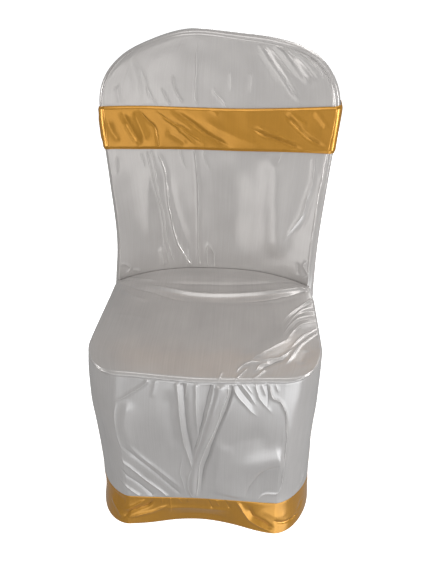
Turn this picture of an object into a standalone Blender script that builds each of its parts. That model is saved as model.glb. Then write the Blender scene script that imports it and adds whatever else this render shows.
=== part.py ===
"""A fitted satin cover for an armless chair, with a gold band round the backrest, built in Blender.

Metres, +Z up, the front faces -Y, and the origin is under the middle of the cover, on the floor.
Each panel is a grid of points on the cover's outer surface, raised and sunk by its folds, and Solidify gives
it the thickness of the cloth. The chair underneath isn't built, so the cover is hollow.
"""

import math
from collections import namedtuple

import bpy
import numpy as np

# Driving dimensions
CLOTH = 0.001  # thickness of the satin
SEAM_GAP = 0.0003  # between the edges of two panels that are sewn together
EDGE_TRIM = 0.0005  # how far each panel stops short of a seam over which the cloth turns an edge
HEM_SEAM = 0.078  # height of the seam on top of the border
JUNCTION = 0.389  # height of the seat's two rear corners, at the foot of the backrest
FOOT_RISE = 0.0225  # how much higher the seam between seat and backrest is at its middle
FOOT_POWER = 2.6  # 2 would make that seam a parabola, more makes it flatter in the middle
SHOULDER = 0.732  # height at which the backrest's round top begins
LEVEL_BELOW = 0.072  # so far below the shoulders, the cloth turns in level from the outline
ARCH_RISE = 0.147  # height of the round top above the shoulders
ARCH_POWER = 2.4  # 2 would make the round top an ellipse, more makes it squarer
ARCH_LEAN = 0.012  # how far the highest point lies to the left
PATCH_CORNER = 0.75  # share of the arch's height at which the square grids have their upper corners
FRONT_EDGE = 0.013  # radius at which the cloth turns round the backrest's front edge
INSET_LEFT, INSET_RIGHT = 0.004, 0.010  # from the backrest's outline in to its seam
INSET_CHANGE = 0.3  # width over which the one changes to the other, across the top
SEAM_FADE = 0.030  # height below the junction over which that seam runs out to the side of the cover
SEAT_ROLL = 0.010  # radius of the seat's rolled edge
SEAT_ROLL_FADE = 8  # the roll ends this part of the seat's length in front of the backrest
SEAT_DISH = 0.012  # how far the middle of the seat sinks
SEAT_TRIM = 0.0005  # how far the seat's cut edge stays above its seam, where the cloth turns down
SASH_CLEARANCE = 0.0009  # from the cover out to the band
RELIEF_FADE = 0.018  # distance from a seam within which folds rise to their full height

# Share of half of the skirt's ring taken by its side and by its front corner, from the rear seam forwards
SKIRT_SIDE, SKIRT_CORNER = 0.50, 0.22
# Share of half of the back's ring taken by its side and by its corner, from the seam backwards
BACK_SIDE, BACK_CORNER = 0.26, 0.20
FRONT_OF_RING = 0.62  # share of the border that runs below the skirt, the rest runs below the back

# Points across each grid and up it. The panels that meet in a seam have points at the same places along it,
# or twice as many: the backrest has twice the back's, and the front of the skirt twice the seat's.
REST_COLUMNS, REST_ROWS = 29, 17
ROW_CROWDING = 0.45  # how much closer together than evenly the backrest's rows lie towards the round top
SEAT_COLUMNS, SEAT_ROWS = 20, 16
SKIRT_ROWS = 9
BACK_TURNS = 7
BORDER_COLUMNS, BORDER_ROWS = 68, 4
SASH_ROWS = 5
TURN_STEPS = 12  # points on each curve that a point's way round the edge is measured along
# Steps of half of the band across its front, round the front edge, along the side, round the corner and
# across the back
BAND_FRONT, BAND_EDGE, BAND_SIDE, BAND_CORNER, BAND_BACK = 13, 3, 2, 4, 8

# The flat size of each panel
Cut = namedtuple("Cut", "width length")
REST_CUT = Cut(0.43, 0.45)
SEAT_CUT = Cut(0.42, 0.36)
SKIRT_CUT = Cut(1.05, 0.32)
BORDER_CUT = Cut(1.60, 0.08)
SASH_CUT = Cut(1.10, 0.085)

# The cover's width at each height: x of its left and right side
Width = namedtuple("Width", "height left right")
WIDTHS = (
    Width(0.000, -0.230, 0.210),
    Width(0.078, -0.220, 0.204),
    Width(0.200, -0.220, 0.203),
    Width(0.300, -0.221, 0.205),
    Width(0.389, -0.217, 0.208),
    Width(0.450, -0.212, 0.210),
    Width(0.600, -0.2235, 0.2235),
    Width(0.665, -0.231, 0.231),
    Width(0.732, -0.238, 0.238),
    Width(0.900, -0.238, 0.238),
)

# The round top's outline lies a little below a true arch: by how much, at each x
Slack = namedtuple("Slack", "x drop")
SLACKS = (
    Slack(-0.240, 0.000),
    Slack(-0.150, 0.006),
    Slack(-0.060, 0.000),
    Slack(0.050, 0.006),
    Slack(0.110, 0.004),
    Slack(0.190, -0.002),
    Slack(0.240, 0.000),
)

# Front of the skirt at each height: y of the line between its corners, how far its middle stands back from
# that line, the size of the corner along x and along y, the power of its curve (2 is a quarter of an ellipse,
# less is flatter), and how far its sides stand in from the cover's width
Front = namedtuple("Front", "height line stand_back corner_x corner_y power side_in")
FRONTS = (
    Front(0.000, -0.223, 0.024, 0.076, 0.110, 1.8, 0.000),
    Front(0.078, -0.216, 0.003, 0.068, 0.085, 1.6, 0.000),
    Front(0.200, -0.228, 0.000, 0.066, 0.088, 1.5, 0.000),
    Front(0.300, -0.240, -0.003, 0.066, 0.090, 1.6, 0.000),
    Front(0.407, -0.249, -0.006, 0.068, 0.090, 2.0, 0.006),
)

# Backrest and back at each height: y of the front edge, y of the back, how far the front panel sinks and the
# back panel swells in the middle, and the radius at which the cloth turns onto the back
Rear = namedtuple("Rear", "height face back dish swell corner")
REARS = (
    Rear(0.000, 0.098, 0.200, 0.000, 0.006, 0.050),
    Rear(0.200, 0.094, 0.198, 0.000, 0.006, 0.045),
    Rear(0.389, 0.092, 0.202, 0.028, 0.010, 0.034),
    Rear(0.500, 0.119, 0.211, 0.020, 0.014, 0.028),
    Rear(0.665, 0.158, 0.226, 0.006, 0.015, 0.023),
    Rear(0.780, 0.186, 0.237, 0.002, 0.013, 0.020),
    Rear(0.900, 0.215, 0.252, 0.000, 0.008, 0.018),
)

# Height of the seat's seam, by the share of the way round from the left rear corner to the right one
Rim = namedtuple("Rim", "around height")
RIMS = (
    Rim(0.00, 0.389),
    Rim(0.12, 0.401),
    Rim(0.25, 0.411),
    Rim(0.36, 0.408),
    Rim(0.50, 0.405),
    Rim(0.64, 0.407),
    Rim(0.75, 0.412),
    Rim(0.88, 0.401),
    Rim(1.00, 0.389),
)

# How the border's lower edge strays from an even ring, by the share of the way round it: outwards and upwards
Hem = namedtuple("Hem", "around out lift")
HEMS = (
    Hem(0.00, 0.000, 0.000),
    Hem(0.10, 0.002, 0.001),
    Hem(0.16, -0.005, 0.000),
    Hem(0.19, 0.001, 0.000),
    Hem(0.23, -0.004, 0.001),
    Hem(0.27, -0.003, 0.001),
    Hem(0.31, 0.000, 0.000),
    Hem(0.36, -0.001, 0.000),
    Hem(0.40, 0.003, 0.001),
    Hem(0.44, 0.000, 0.000),
    Hem(0.54, 0.003, 0.000),
    Hem(0.70, -0.003, 0.002),
    Hem(0.82, 0.004, 0.000),
    Hem(0.90, -0.003, 0.001),
    Hem(1.00, 0.000, 0.000),
)

# Height of the band's lower and upper edge, from the cover's left edge (-1) to its right one (1)
Band = namedtuple("Band", "aside bottom top")
BANDS = (
    Band(-1.00, 0.6520, 0.7335),
    Band(-0.80, 0.6585, 0.7390),
    Band(-0.50, 0.6600, 0.7420),
    Band(-0.15, 0.6605, 0.7403),
    Band(0.15, 0.6593, 0.7397),
    Band(0.45, 0.6597, 0.7425),
    Band(0.80, 0.6590, 0.7480),
    Band(1.00, 0.6590, 0.7510),
)

# A fold runs straight from one point of its panel to another, each given by its share of the way across the
# panel and of the way up. It is a ridge where its height is positive, and a trough where it is negative.
Fold = namedtuple("Fold", "across0 up0 across1 up1 width height")

REST_FOLDS = (
    # above the band: the crease in the middle, faint ones to its left, and slanting ones at the upper right
    Fold(0.37, 0.98, 0.40, 0.74, 0.010, 0.0040),
    Fold(0.06, 0.97, 0.20, 0.76, 0.013, 0.0030),
    Fold(0.29, 0.84, 0.33, 0.75, 0.010, 0.0025),
    Fold(0.48, 0.84, 0.53, 0.75, 0.010, 0.0025),
    Fold(0.71, 0.97, 0.84, 0.76, 0.011, 0.0050),
    Fold(0.78, 0.97, 0.90, 0.82, 0.012, 0.0060),
    Fold(0.75, 0.95, 0.86, 0.79, 0.009, -0.0035),
    Fold(0.88, 0.98, 0.95, 0.91, 0.010, 0.0035),
    # below the band: a bundle and a long bent fold at the left, the crease in the middle, and a bent fold at
    # the right
    Fold(0.19, 0.45, 0.25, 0.04, 0.010, 0.0040),
    Fold(0.23, 0.45, 0.27, 0.26, 0.011, 0.0050),
    Fold(0.27, 0.26, 0.38, 0.03, 0.012, 0.0055),
    Fold(0.30, 0.40, 0.33, 0.18, 0.014, -0.0030),
    Fold(0.405, 0.45, 0.42, 0.04, 0.010, 0.0040),
    Fold(0.47, 0.12, 0.49, 0.02, 0.012, 0.0030),
    Fold(0.70, 0.42, 0.74, 0.08, 0.030, 0.0045),
    Fold(0.94, 0.44, 0.92, 0.30, 0.011, 0.0040),
    Fold(0.92, 0.30, 0.83, 0.16, 0.011, 0.0045),
    Fold(0.87, 0.45, 0.84, 0.36, 0.010, 0.0025),
    Fold(0.97, 0.12, 0.90, 0.04, 0.012, 0.0050),
    Fold(0.05, 0.10, 0.12, 0.03, 0.012, 0.0040),
)
SEAT_FOLDS = (
    # the roll of cloth in front of the backrest, with the hollow behind it
    Fold(0.20, 0.74, 0.34, 0.70, 0.013, 0.0050),
    Fold(0.34, 0.71, 0.65, 0.71, 0.014, 0.0080),
    Fold(0.65, 0.71, 0.95, 0.88, 0.013, 0.0060),
    Fold(0.19, 0.82, 0.50, 0.79, 0.014, -0.0055),
    Fold(0.50, 0.79, 0.93, 0.95, 0.014, -0.0045),
    Fold(0.08, 0.86, 0.28, 0.70, 0.012, 0.0045),
    Fold(0.62, 0.62, 0.92, 0.78, 0.016, -0.0040),
    # short waves that run in from the right side, and the wrinkled slope at the right front corner
    Fold(0.98, 0.66, 0.85, 0.50, 0.010, 0.0045),
    Fold(0.98, 0.52, 0.84, 0.38, 0.010, 0.0045),
    Fold(0.98, 0.40, 0.80, 0.22, 0.010, 0.0040),
    Fold(0.97, 0.30, 0.70, 0.10, 0.018, 0.0060),
    Fold(0.68, 0.09, 0.60, 0.02, 0.010, 0.0030),
    Fold(0.77, 0.10, 0.71, 0.02, 0.010, 0.0030),
    Fold(0.03, 0.78, 0.20, 0.66, 0.014, 0.0035),
)
SKIRT_FOLDS = (
    # three pleats that meet at the middle of the hem
    Fold(0.463, 0.96, 0.474, 0.52, 0.008, 0.0080),
    Fold(0.474, 0.52, 0.485, 0.05, 0.009, 0.0060),
    Fold(0.478, 0.94, 0.486, 0.48, 0.007, -0.0060),
    Fold(0.491, 0.96, 0.497, 0.54, 0.008, 0.0050),
    Fold(0.534, 0.96, 0.519, 0.70, 0.012, 0.0110),
    Fold(0.519, 0.70, 0.491, 0.30, 0.012, 0.0110),
    Fold(0.491, 0.30, 0.487, 0.03, 0.011, 0.0080),
    Fold(0.552, 0.95, 0.534, 0.66, 0.008, -0.0070),
    Fold(0.534, 0.66, 0.502, 0.26, 0.009, -0.0060),
    # gathers that fan out from the seat's seam
    Fold(0.562, 0.97, 0.594, 0.78, 0.009, 0.0060),
    Fold(0.592, 0.97, 0.615, 0.83, 0.009, 0.0060),
    Fold(0.617, 0.97, 0.627, 0.88, 0.009, 0.0050),
    Fold(0.400, 0.94, 0.370, 0.82, 0.010, 0.0040),
    # the sharp right corner, and slanting folds above the hem
    Fold(0.632, 0.88, 0.646, 0.55, 0.012, 0.0055),
    Fold(0.646, 0.55, 0.668, 0.04, 0.012, 0.0055),
    Fold(0.360, 0.44, 0.446, 0.10, 0.013, 0.0055),
    Fold(0.351, 0.33, 0.452, 0.04, 0.012, -0.0050),
    Fold(0.336, 0.12, 0.390, 0.03, 0.011, 0.0045),
    Fold(0.566, 0.05, 0.642, 0.34, 0.018, 0.0060),
    Fold(0.540, 0.55, 0.610, 0.62, 0.022, -0.0040),
    # the sides
    Fold(0.110, 0.95, 0.125, 0.25, 0.020, 0.0040),
    Fold(0.215, 0.92, 0.200, 0.10, 0.024, 0.0045),
    Fold(0.800, 0.94, 0.790, 0.18, 0.022, 0.0040),
    Fold(0.905, 0.90, 0.915, 0.10, 0.020, 0.0045),
)
BORDER_FOLDS = (
    Fold(0.211, 0.20, 0.248, 0.90, 0.012, -0.0060),
    Fold(0.203, 0.75, 0.226, 0.10, 0.012, 0.0045),
    Fold(0.273, 0.90, 0.274, 0.15, 0.010, 0.0030),
    Fold(0.359, 0.78, 0.390, 0.10, 0.012, 0.0060),
    Fold(0.374, 0.85, 0.402, 0.15, 0.010, -0.0060),
    Fold(0.397, 0.25, 0.430, 0.65, 0.011, 0.0055),
    Fold(0.080, 0.90, 0.090, 0.05, 0.022, 0.0040),
    Fold(0.545, 0.90, 0.535, 0.05, 0.022, 0.0040),
)
SASH_FOLDS = (
    Fold(0.235, 0.80, 0.235, 0.20, 0.030, 0.0030),
    Fold(0.314, 0.97, 0.352, 0.05, 0.018, 0.0040),
    Fold(0.345, 0.92, 0.380, 0.58, 0.010, 0.0030),
    Fold(0.380, 0.58, 0.378, 0.03, 0.009, 0.0025),
    Fold(0.369, 0.85, 0.479, 0.08, 0.010, 0.0050),
    Fold(0.398, 0.85, 0.493, 0.20, 0.009, 0.0030),
    Fold(0.640, 0.80, 0.722, 0.15, 0.011, 0.0045),
    Fold(0.580, 0.90, 0.560, 0.55, 0.012, 0.0030),
    Fold(0.120, 0.90, 0.180, 0.10, 0.014, 0.0030),
    Fold(0.870, 0.90, 0.820, 0.10, 0.014, 0.0030),
)


def along(table, column, position):
    """A column of a table at the given positions: a smooth curve through the rows, by their first column."""
    xs = np.array([row[0] for row in table])
    ys = np.array([getattr(row, column) for row in table])
    slopes = np.gradient(ys, xs)
    x = np.clip(np.asarray(position, float), xs[0], xs[-1])
    i = np.clip(np.searchsorted(xs, x) - 1, 0, len(xs) - 2)
    span = xs[i + 1] - xs[i]
    t = (x - xs[i]) / span
    rise = ys[i] + (ys[i + 1] - ys[i]) * t * t * (3 - 2 * t)
    return rise + span * t * (1 - t) * (slopes[i] * (1 - t) - slopes[i + 1] * t)


def ease(t):
    """0 below 0, 1 above 1, and a smooth step between them."""
    t = np.clip(t, 0.0, 1.0)
    return t * t * (3 - 2 * t)


def quarter(depth, radius):
    """Height of a quarter circle of this radius, at this depth in from its upright side."""
    inner = radius - np.clip(depth, 0.0, radius)
    return np.sqrt(np.maximum(radius**2 - inner**2, 0.0))


def walk(line, share):
    """Rows of a line of points at the given shares of its length, measured in its first two columns."""
    steps = np.linalg.norm(np.diff(line[:, :2], axis=0), axis=1)
    length = np.concatenate([[0], np.cumsum(steps)])
    places = np.asarray(share, float) * length[-1]
    return np.stack([np.interp(places, length, column) for column in line.T], -1)


def coons(bottom, top, left, right, s, t):
    """Points between four edge curves, which are functions of a share: bottom and top run from left to right,
    left and right run upwards. The result has a row for each t and a column for each s."""
    across, up = s[None, :, None], t[:, None, None]
    low, high = bottom(np.array([0.0, 1.0])), top(np.array([0.0, 1.0]))
    sides = left(t)[:, None] * (1 - across) + right(t)[:, None] * across
    ends = bottom(s)[None] * (1 - up) + top(s)[None] * up
    low_line = low[0] * (1 - across) + low[1] * across
    high_line = high[0] * (1 - across) + high[1] * across
    return sides + ends - low_line * (1 - up) - high_line * up


def shares(count, length):
    """Shares from one seam to the other of a panel of this length, half a seam gap short of each."""
    gap = 0.5 * SEAM_GAP / length
    return np.linspace(gap, 1 - gap, count)


def rolled_shares(count, length, roll):
    """Shares from one seam to the other of a panel whose cloth rolls over its seams with this radius: there one
    more lies inside the roll."""
    inside = 1.1 * roll / length
    middle = np.linspace(inside, 1 - inside, count - 4)
    return np.concatenate([[0, 0.3 * inside], middle, [1 - 0.3 * inside, 1]])


def on_chords(line, share):
    """A line of points in which every second one lies on the straight line between its neighbours."""
    line = line.copy()
    part = ((share[1:-1:2] - share[:-2:2]) / (share[2::2] - share[:-2:2]))[:, None]
    line[1:-1:2] = line[:-2:2] * (1 - part) + line[2::2] * part
    return line


# The backrest: its outline, and the surfaces in front and behind


def arch_share(x, z):
    """How far up the round top a point is: 0 at the shoulder, 1 at the top."""
    return np.clip((z + along(SLACKS, "drop", x) - SHOULDER) / ARCH_RISE, 0.0, 1.0)


def centre(z):
    """x of the middle of the backrest, which leans to the left in the round top."""
    return -ARCH_LEAN * ease((z - SHOULDER) / ARCH_RISE)


def across_share(x, z):
    """How far x is from the middle to its side of the cover, and the width from the middle to that side."""
    middle = centre(z)
    side = np.where(x < middle, along(WIDTHS, "left", z), along(WIDTHS, "right", z))
    width = np.abs(side - middle)
    return np.abs(x - middle) / width, width


def fullness(x, z):
    """1 in the middle of the backrest, falling to 0 on its outline."""
    across, _ = across_share(x, z)
    return np.maximum(1 - across**ARCH_POWER - arch_share(x, z) ** ARCH_POWER, 0.0)


def inset_depth(x, z):
    """Roughly how far in from the backrest's outline a point is."""
    across, width = across_share(x, z)
    slope_x = ARCH_POWER * across ** (ARCH_POWER - 1) / width
    slope_z = ARCH_POWER * arch_share(x, z) ** (ARCH_POWER - 1) / ARCH_RISE
    return fullness(x, z) / np.maximum(np.hypot(slope_x, slope_z), 1e-3)


def front_surface(x, z):
    """y of the front panel of the backrest."""
    edge = FRONT_EDGE - quarter(inset_depth(x, z), FRONT_EDGE)
    return along(REARS, "face", z) + edge + along(REARS, "dish", z) * fullness(x, z)


def back_surface(x, z):
    """y of the back panel, where it faces backwards."""
    corner = along(REARS, "corner", z)
    edge = corner - quarter(inset_depth(x, z), corner)
    return along(REARS, "back", z) - edge + along(REARS, "swell", z) * fullness(x, z)


def outline(start_height):
    """The cover's outline seen from the front, as three lines of rows (x, z, outward x, outward z): the left
    side from this height up to the patch corner, the top from left to right, and the right side, again upwards.
    Outward is level below the round top."""
    rise = np.linspace(start_height, SHOULDER, 240)[:-1]
    turn = np.linspace(math.pi, 0, 481)
    height = SHOULDER + ARCH_RISE * np.abs(np.sin(turn)) ** (2 / ARCH_POWER)
    side = np.where(turn > math.pi / 2, along(WIDTHS, "left", SHOULDER), along(WIDTHS, "right", SHOULDER))
    reach = np.abs(side - centre(height)) * np.abs(np.cos(turn)) ** (2 / ARCH_POWER)
    arch = centre(height) + reach * np.sign(np.cos(turn))
    height = height - along(SLACKS, "drop", arch)
    x = np.concatenate([along(WIDTHS, "left", rise), arch, along(WIDTHS, "right", rise[::-1])])
    z = np.concatenate([rise, height, rise[::-1]])
    outward = np.stack([-np.gradient(z), np.gradient(x)], -1)
    outward[:, 1] *= ease(1 - (SHOULDER - z) / LEVEL_BELOW)
    outward /= np.linalg.norm(outward, axis=1, keepdims=True)
    rows = np.column_stack([x, z, outward])
    high = np.flatnonzero(z > SHOULDER + PATCH_CORNER * ARCH_RISE)
    first, last = high[0], high[-1]
    return rows[: first + 1], rows[first : last + 1], rows[last:][::-1]


def drawn_in(rows, inset):
    """(x, z) of points that lie this far in from the rows of an outline."""
    return rows[:, :2] - rows[:, 2:] * np.reshape(inset, (-1, 1))


def seam_inset(x, z):
    """How far in from the outline the backrest's seam runs. It reaches the cover's side below the seat."""
    return (INSET_LEFT + (INSET_RIGHT - INSET_LEFT) * ease(x / INSET_CHANGE + 0.5)) * seam_share(z)


def seam_share(z):
    """1 on the backrest, and 0 below the seat, where the backrest's front edge has run out."""
    return ease((z - JUNCTION + SEAM_FADE) / SEAM_FADE)


def edge_surface(x, z):
    """y of the cloth close to the backrest's seam, which on its way down leaves the front panel's surface."""
    face = along(REARS, "face", z)
    return face + (front_surface(x, z) - face) * seam_share(z)


def foot_seam(share):
    """(x, z) along the seam across the foot of the backrest, from left to right."""
    left = float(along(WIDTHS, "left", JUNCTION)) + INSET_LEFT
    right = float(along(WIDTHS, "right", JUNCTION)) - INSET_RIGHT
    x = left + (right - left) * share
    return np.stack([x, JUNCTION + FOOT_RISE * (1 - np.abs(2 * share - 1) ** FOOT_POWER)], -1)


# The rings round the lower part: the skirt in front, the back panel behind


def upright_seam(on_left, z):
    """(x, y) of the seam between skirt and back panel, which runs on down from the backrest's seam."""
    edge = np.where(on_left, along(WIDTHS, "left", z), along(WIDTHS, "right", z))
    inset = seam_inset(edge, z)
    x = edge + np.where(on_left, inset, -inset)
    return x, edge_surface(x, z)


def skirt_ring(around, z):
    """(x, y) at shares of the way round the skirt, from the left rear seam over the front to the right."""
    on_left = around < 0.5
    place = np.where(on_left, 2 * around, 2 - 2 * around)
    left, right = along(WIDTHS, "left", z), along(WIDTHS, "right", z)
    edge, toward = np.where(on_left, left, right), np.where(on_left, 1.0, -1.0)
    names = ("line", "corner_x", "corner_y", "power", "side_in")
    line, corner_x, corner_y, power, side_in = (along(FRONTS, name, z) for name in names)
    seam_x, seam_y = upright_seam(on_left, z)
    edge = edge + toward * side_in
    on_side = np.clip(place / SKIRT_SIDE, 0, 1)
    turn = np.clip((place - SKIRT_SIDE) / SKIRT_CORNER, 0, 1) * math.pi / 2
    on_front = np.clip((place - SKIRT_SIDE - SKIRT_CORNER) / (1 - SKIRT_SIDE - SKIRT_CORNER), 0, 1)
    inward, forward = 1 - np.abs(np.cos(turn)) ** (2 / power), np.abs(np.sin(turn)) ** (2 / power)
    x = edge + (seam_x - edge) * (1 - ease(3 * on_side)) + toward * corner_x * inward
    x = x + (0.5 * (left + right) - edge - toward * corner_x) * on_front
    y = seam_y + (line + corner_y - seam_y) * on_side - corner_y * forward
    return x, y + along(FRONTS, "stand_back", z) * ease(on_front)


def back_ring(around, z):
    """(x, y) at shares of the way round the back, from the right seam behind the cover to the left one."""
    on_left = around > 0.5
    place = np.where(on_left, 2 - 2 * around, 2 * around)
    left, right = along(WIDTHS, "left", z), along(WIDTHS, "right", z)
    edge, toward = np.where(on_left, left, right), np.where(on_left, 1.0, -1.0)
    back, corner = along(REARS, "back", z), along(REARS, "corner", z)
    seam_x, seam_y = upright_seam(on_left, z)
    on_side = np.clip(place / BACK_SIDE, 0, 1)
    turn = np.clip((place - BACK_SIDE) / BACK_CORNER, 0, 1) * math.pi / 2
    on_back = np.clip((place - BACK_SIDE - BACK_CORNER) / (1 - BACK_SIDE - BACK_CORNER), 0, 1)
    x = edge + (seam_x - edge) * (1 - ease(4 * on_side)) + toward * corner * (1 - np.cos(turn))
    x = x + (0.5 * (left + right) - edge - toward * corner) * on_back
    y = seam_y + (back - corner - seam_y) * on_side + corner * np.sin(turn)
    return x, y + along(REARS, "swell", z) * fullness(x, z) * ease(2 * turn / math.pi)


def rim(around):
    """(x, y, z) along the seat's seam."""
    z = along(RIMS, "height", around)
    return np.stack([*skirt_ring(around, z), z], -1)


# The panels' grids. Each has rows that run upwards and columns that run to the right, seen from outside.


def rest_shares():
    """The shares of the columns of the backrest's front panel, and of its rows from its foot upwards."""
    s = rolled_shares(REST_COLUMNS, REST_CUT.width, FRONT_EDGE)
    t = np.linspace(0, 1, REST_ROWS)
    return s, t + ROW_CROWDING * np.sin(math.pi * t) / math.pi


def rest_grid():
    """The front panel of the backrest."""
    left, top, right = outline(JUNCTION)

    def edge(line):
        def points(share):
            at = walk(line, share)
            return drawn_in(at, seam_inset(at[:, 0], at[:, 1]))

        return points

    s, t = rest_shares()
    trim_s, trim_t = EDGE_TRIM / REST_CUT.width, EDGE_TRIM / REST_CUT.length
    in_s, in_t = np.clip(s, trim_s, 1 - trim_s), np.clip(t, SEAM_GAP / REST_CUT.length, 1 - trim_t)
    xz = coons(foot_seam, edge(top), edge(left), edge(right), in_s, in_t)
    x, z = xz[..., 0], xz[..., 1]
    points = np.stack([x, front_surface(x, z), z], -1)
    points[-1] = on_chords(points[-1], s)
    points[:, 0], points[:, -1] = on_chords(points[:, 0], t), on_chords(points[:, -1], t)
    return points, s, t


def seat_shares():
    """The shares of the seat's columns, and of its rows from its front seam to the foot of the backrest."""
    s = rolled_shares(SEAT_COLUMNS, SEAT_CUT.width, SEAT_ROLL)
    t = rolled_shares(SEAT_ROWS, SEAT_CUT.length, SEAT_ROLL)
    t[-1] = 1 - SEAM_GAP / SEAT_CUT.length
    return s, t


def seat_rim(s, t):
    """Shares of the way round the seat's seam at which its columns end in front, and its rows at the left."""
    reach = 0.5 * (SKIRT_SIDE + 0.5 * SKIRT_CORNER)
    return reach + (1 - 2 * reach) * s, reach * (1 - t)


def seat_grid():
    """The seat panel. Its edge rolls down to its seam, except along the foot of the backrest."""

    def foot(share):
        x, z = foot_seam(share).T
        return np.stack([x, front_surface(x, z), z], -1)

    s, t = seat_shares()
    points = coons(
        lambda share: rim(seat_rim(share, 0)[0]),
        foot,
        lambda share: rim(seat_rim(0, share)[1]),
        lambda share: rim(1 - seat_rim(0, share)[1]),
        s,
        t,
    )
    edge = np.minimum(np.minimum(s, 1 - s)[None] * SEAT_CUT.width, t[:, None] * SEAT_CUT.length)
    inside = (4 * s * (1 - s))[None] * (4 * t * (1 - t))[:, None]
    rolled = ease((1 - t) * SEAT_ROLL_FADE)
    trim = (SEAT_TRIM * rolled + (CLOTH + SEAM_GAP) * (1 - rolled))[:, None] * (edge == 0)
    roll = np.maximum(quarter(edge, SEAT_ROLL) * rolled[:, None], trim)
    points[..., 2] += roll - SEAT_DISH * inside
    return points, s, t


def skirt_shares():
    """The shares of the skirt's columns: where the seat's points are, and in front midway between them."""
    front, left = seat_rim(*seat_shares())
    between = 0.5 * (front[1:] + front[:-1])
    gap = 0.5 * SEAM_GAP / SKIRT_CUT.width
    every = np.concatenate([left[:-1], front[1:-1], 1 - left[:-1], between, [gap, 1 - gap]])
    return np.sort(every), between


def skirt_grid():
    """The skirt, from its hem seam up to the seat's seam, round from the left rear seam to the right one."""
    (s, between), t = skirt_shares(), shares(SKIRT_ROWS, SKIRT_CUT.length)
    z = HEM_SEAM + (along(RIMS, "height", s)[None] - HEM_SEAM) * t[:, None]
    x, y = skirt_ring(np.broadcast_to(s, z.shape), z)
    points = np.stack([x, y, z], -1)
    middle = np.flatnonzero(np.isin(s, between))
    for row in (0, -1):
        points[row, middle] = 0.5 * (points[row, middle - 1] + points[row, middle + 1])
    return points, s, t


def border_grid(columns, rows):
    """The border, a closed ring that starts at the left rear seam and goes round over the front."""
    s, t = np.linspace(0, 1, columns + 1)[:-1], np.linspace(0, 1, rows)
    z = np.broadcast_to((HEM_SEAM - 0.5 * SEAM_GAP) * t[:, None], (rows, columns))
    around = np.broadcast_to(s, z.shape)
    front_x, front_y = skirt_ring(np.clip(around / FRONT_OF_RING, 0, 1), z)
    back_x, back_y = back_ring(np.clip((around - FRONT_OF_RING) / (1 - FRONT_OF_RING), 0, 1), z)
    in_front = around < FRONT_OF_RING
    x, y = np.where(in_front, front_x, back_x), np.where(in_front, front_y, back_y)
    return np.stack([x, y, z + along(HEMS, "lift", s) * (1 - t)[:, None]], -1), s, t


def sash_grid(columns, rows):
    """The band, a closed ring that starts in the middle of the back and goes round over the left edge."""
    s, t = np.linspace(0, 1, columns + 1)[:-1], np.linspace(0, 1, rows)
    on_left = s < 0.5
    place = np.where(on_left, 1 - 2 * s, 2 * s - 1)
    steps = np.cumsum([0, BAND_FRONT, BAND_EDGE, BAND_SIDE, BAND_CORNER, BAND_BACK])
    starts, ends = steps[:-1] / steps[-1], steps[1:] / steps[-1]
    front, edge, side, corner, back = (np.clip((place - a) / (b - a), 0, 1) for a, b in zip(starts, ends))
    toward = np.where(on_left, -1.0, 1.0)
    aside = toward * np.minimum(place / starts[3], (1 - place) / (1 - starts[3]))
    bottom, top = along(BANDS, "bottom", aside), along(BANDS, "top", aside)
    z = bottom + (top - bottom) * t[:, None]
    width = np.where(on_left, -along(WIDTHS, "left", z), along(WIDTHS, "right", z))
    radius = along(REARS, "corner", z)
    inset_front = FRONT_EDGE * (1 - np.sin(edge * math.pi / 2))
    inset_back = radius * (1 - np.cos(corner * math.pi / 2))
    half = (width - FRONT_EDGE) * front + FRONT_EDGE - inset_front
    half = np.where(place < starts[2], half, width - inset_back)
    half = np.where(place > starts[4], (width - radius) * (1 - back), half)
    x = toward * half
    face, rear = along(REARS, "face", z) + FRONT_EDGE, along(REARS, "back", z) - radius
    behind = np.where(place > starts[3], back_surface(x, z), face + (rear - face) * side)
    y = np.where(place < starts[2], front_surface(x, z), behind)
    return np.stack([x, y, z], -1), s, t


def turned_way(row):
    """The cloth's way round the edge of the cover at one row of its outline: points from the seam in front, over
    the rolled edge, along the side and round the corner, to where the back begins."""
    x, z = row[:2]
    inset, corner = float(seam_inset(x, z)), float(along(REARS, "corner", z))
    depth = inset * np.linspace(1, 0, TURN_STEPS)
    turn = np.linspace(0, math.pi / 2, TURN_STEPS)
    middle = float(along(REARS, "back", z)) - corner
    front_place = drawn_in(np.tile(row, (TURN_STEPS, 1)), depth)
    front = np.stack([depth, edge_surface(front_place[:, 0], front_place[:, 1])], -1)
    back = np.stack([corner * (1 - np.cos(turn)), middle + corner * np.sin(turn)], -1)
    rolled = max(float(np.linalg.norm(np.diff(front, axis=0), axis=1).sum()), FRONT_EDGE)
    line = np.concatenate([front, back])
    length = float(np.linalg.norm(np.diff(line, axis=0), axis=1).sum())
    corner_start = length - corner * math.pi / 2
    trim = EDGE_TRIM if inset else 0.5 * SEAM_GAP
    places = [trim, *(rolled * np.array([0.4, 1.0])), *np.linspace(corner_start, length, BACK_TURNS - 3)]
    way = walk(line, np.array(places) / length)
    place = drawn_in(np.tile(row, (BACK_TURNS, 1)), way[:, 0])
    swell = along(REARS, "swell", place[:, 1]) * fullness(place[:, 0], place[:, 1])
    return np.stack([place[:, 0], way[:, 1] + swell * ease(way[:, 0] / corner), place[:, 1]], -1)


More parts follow.
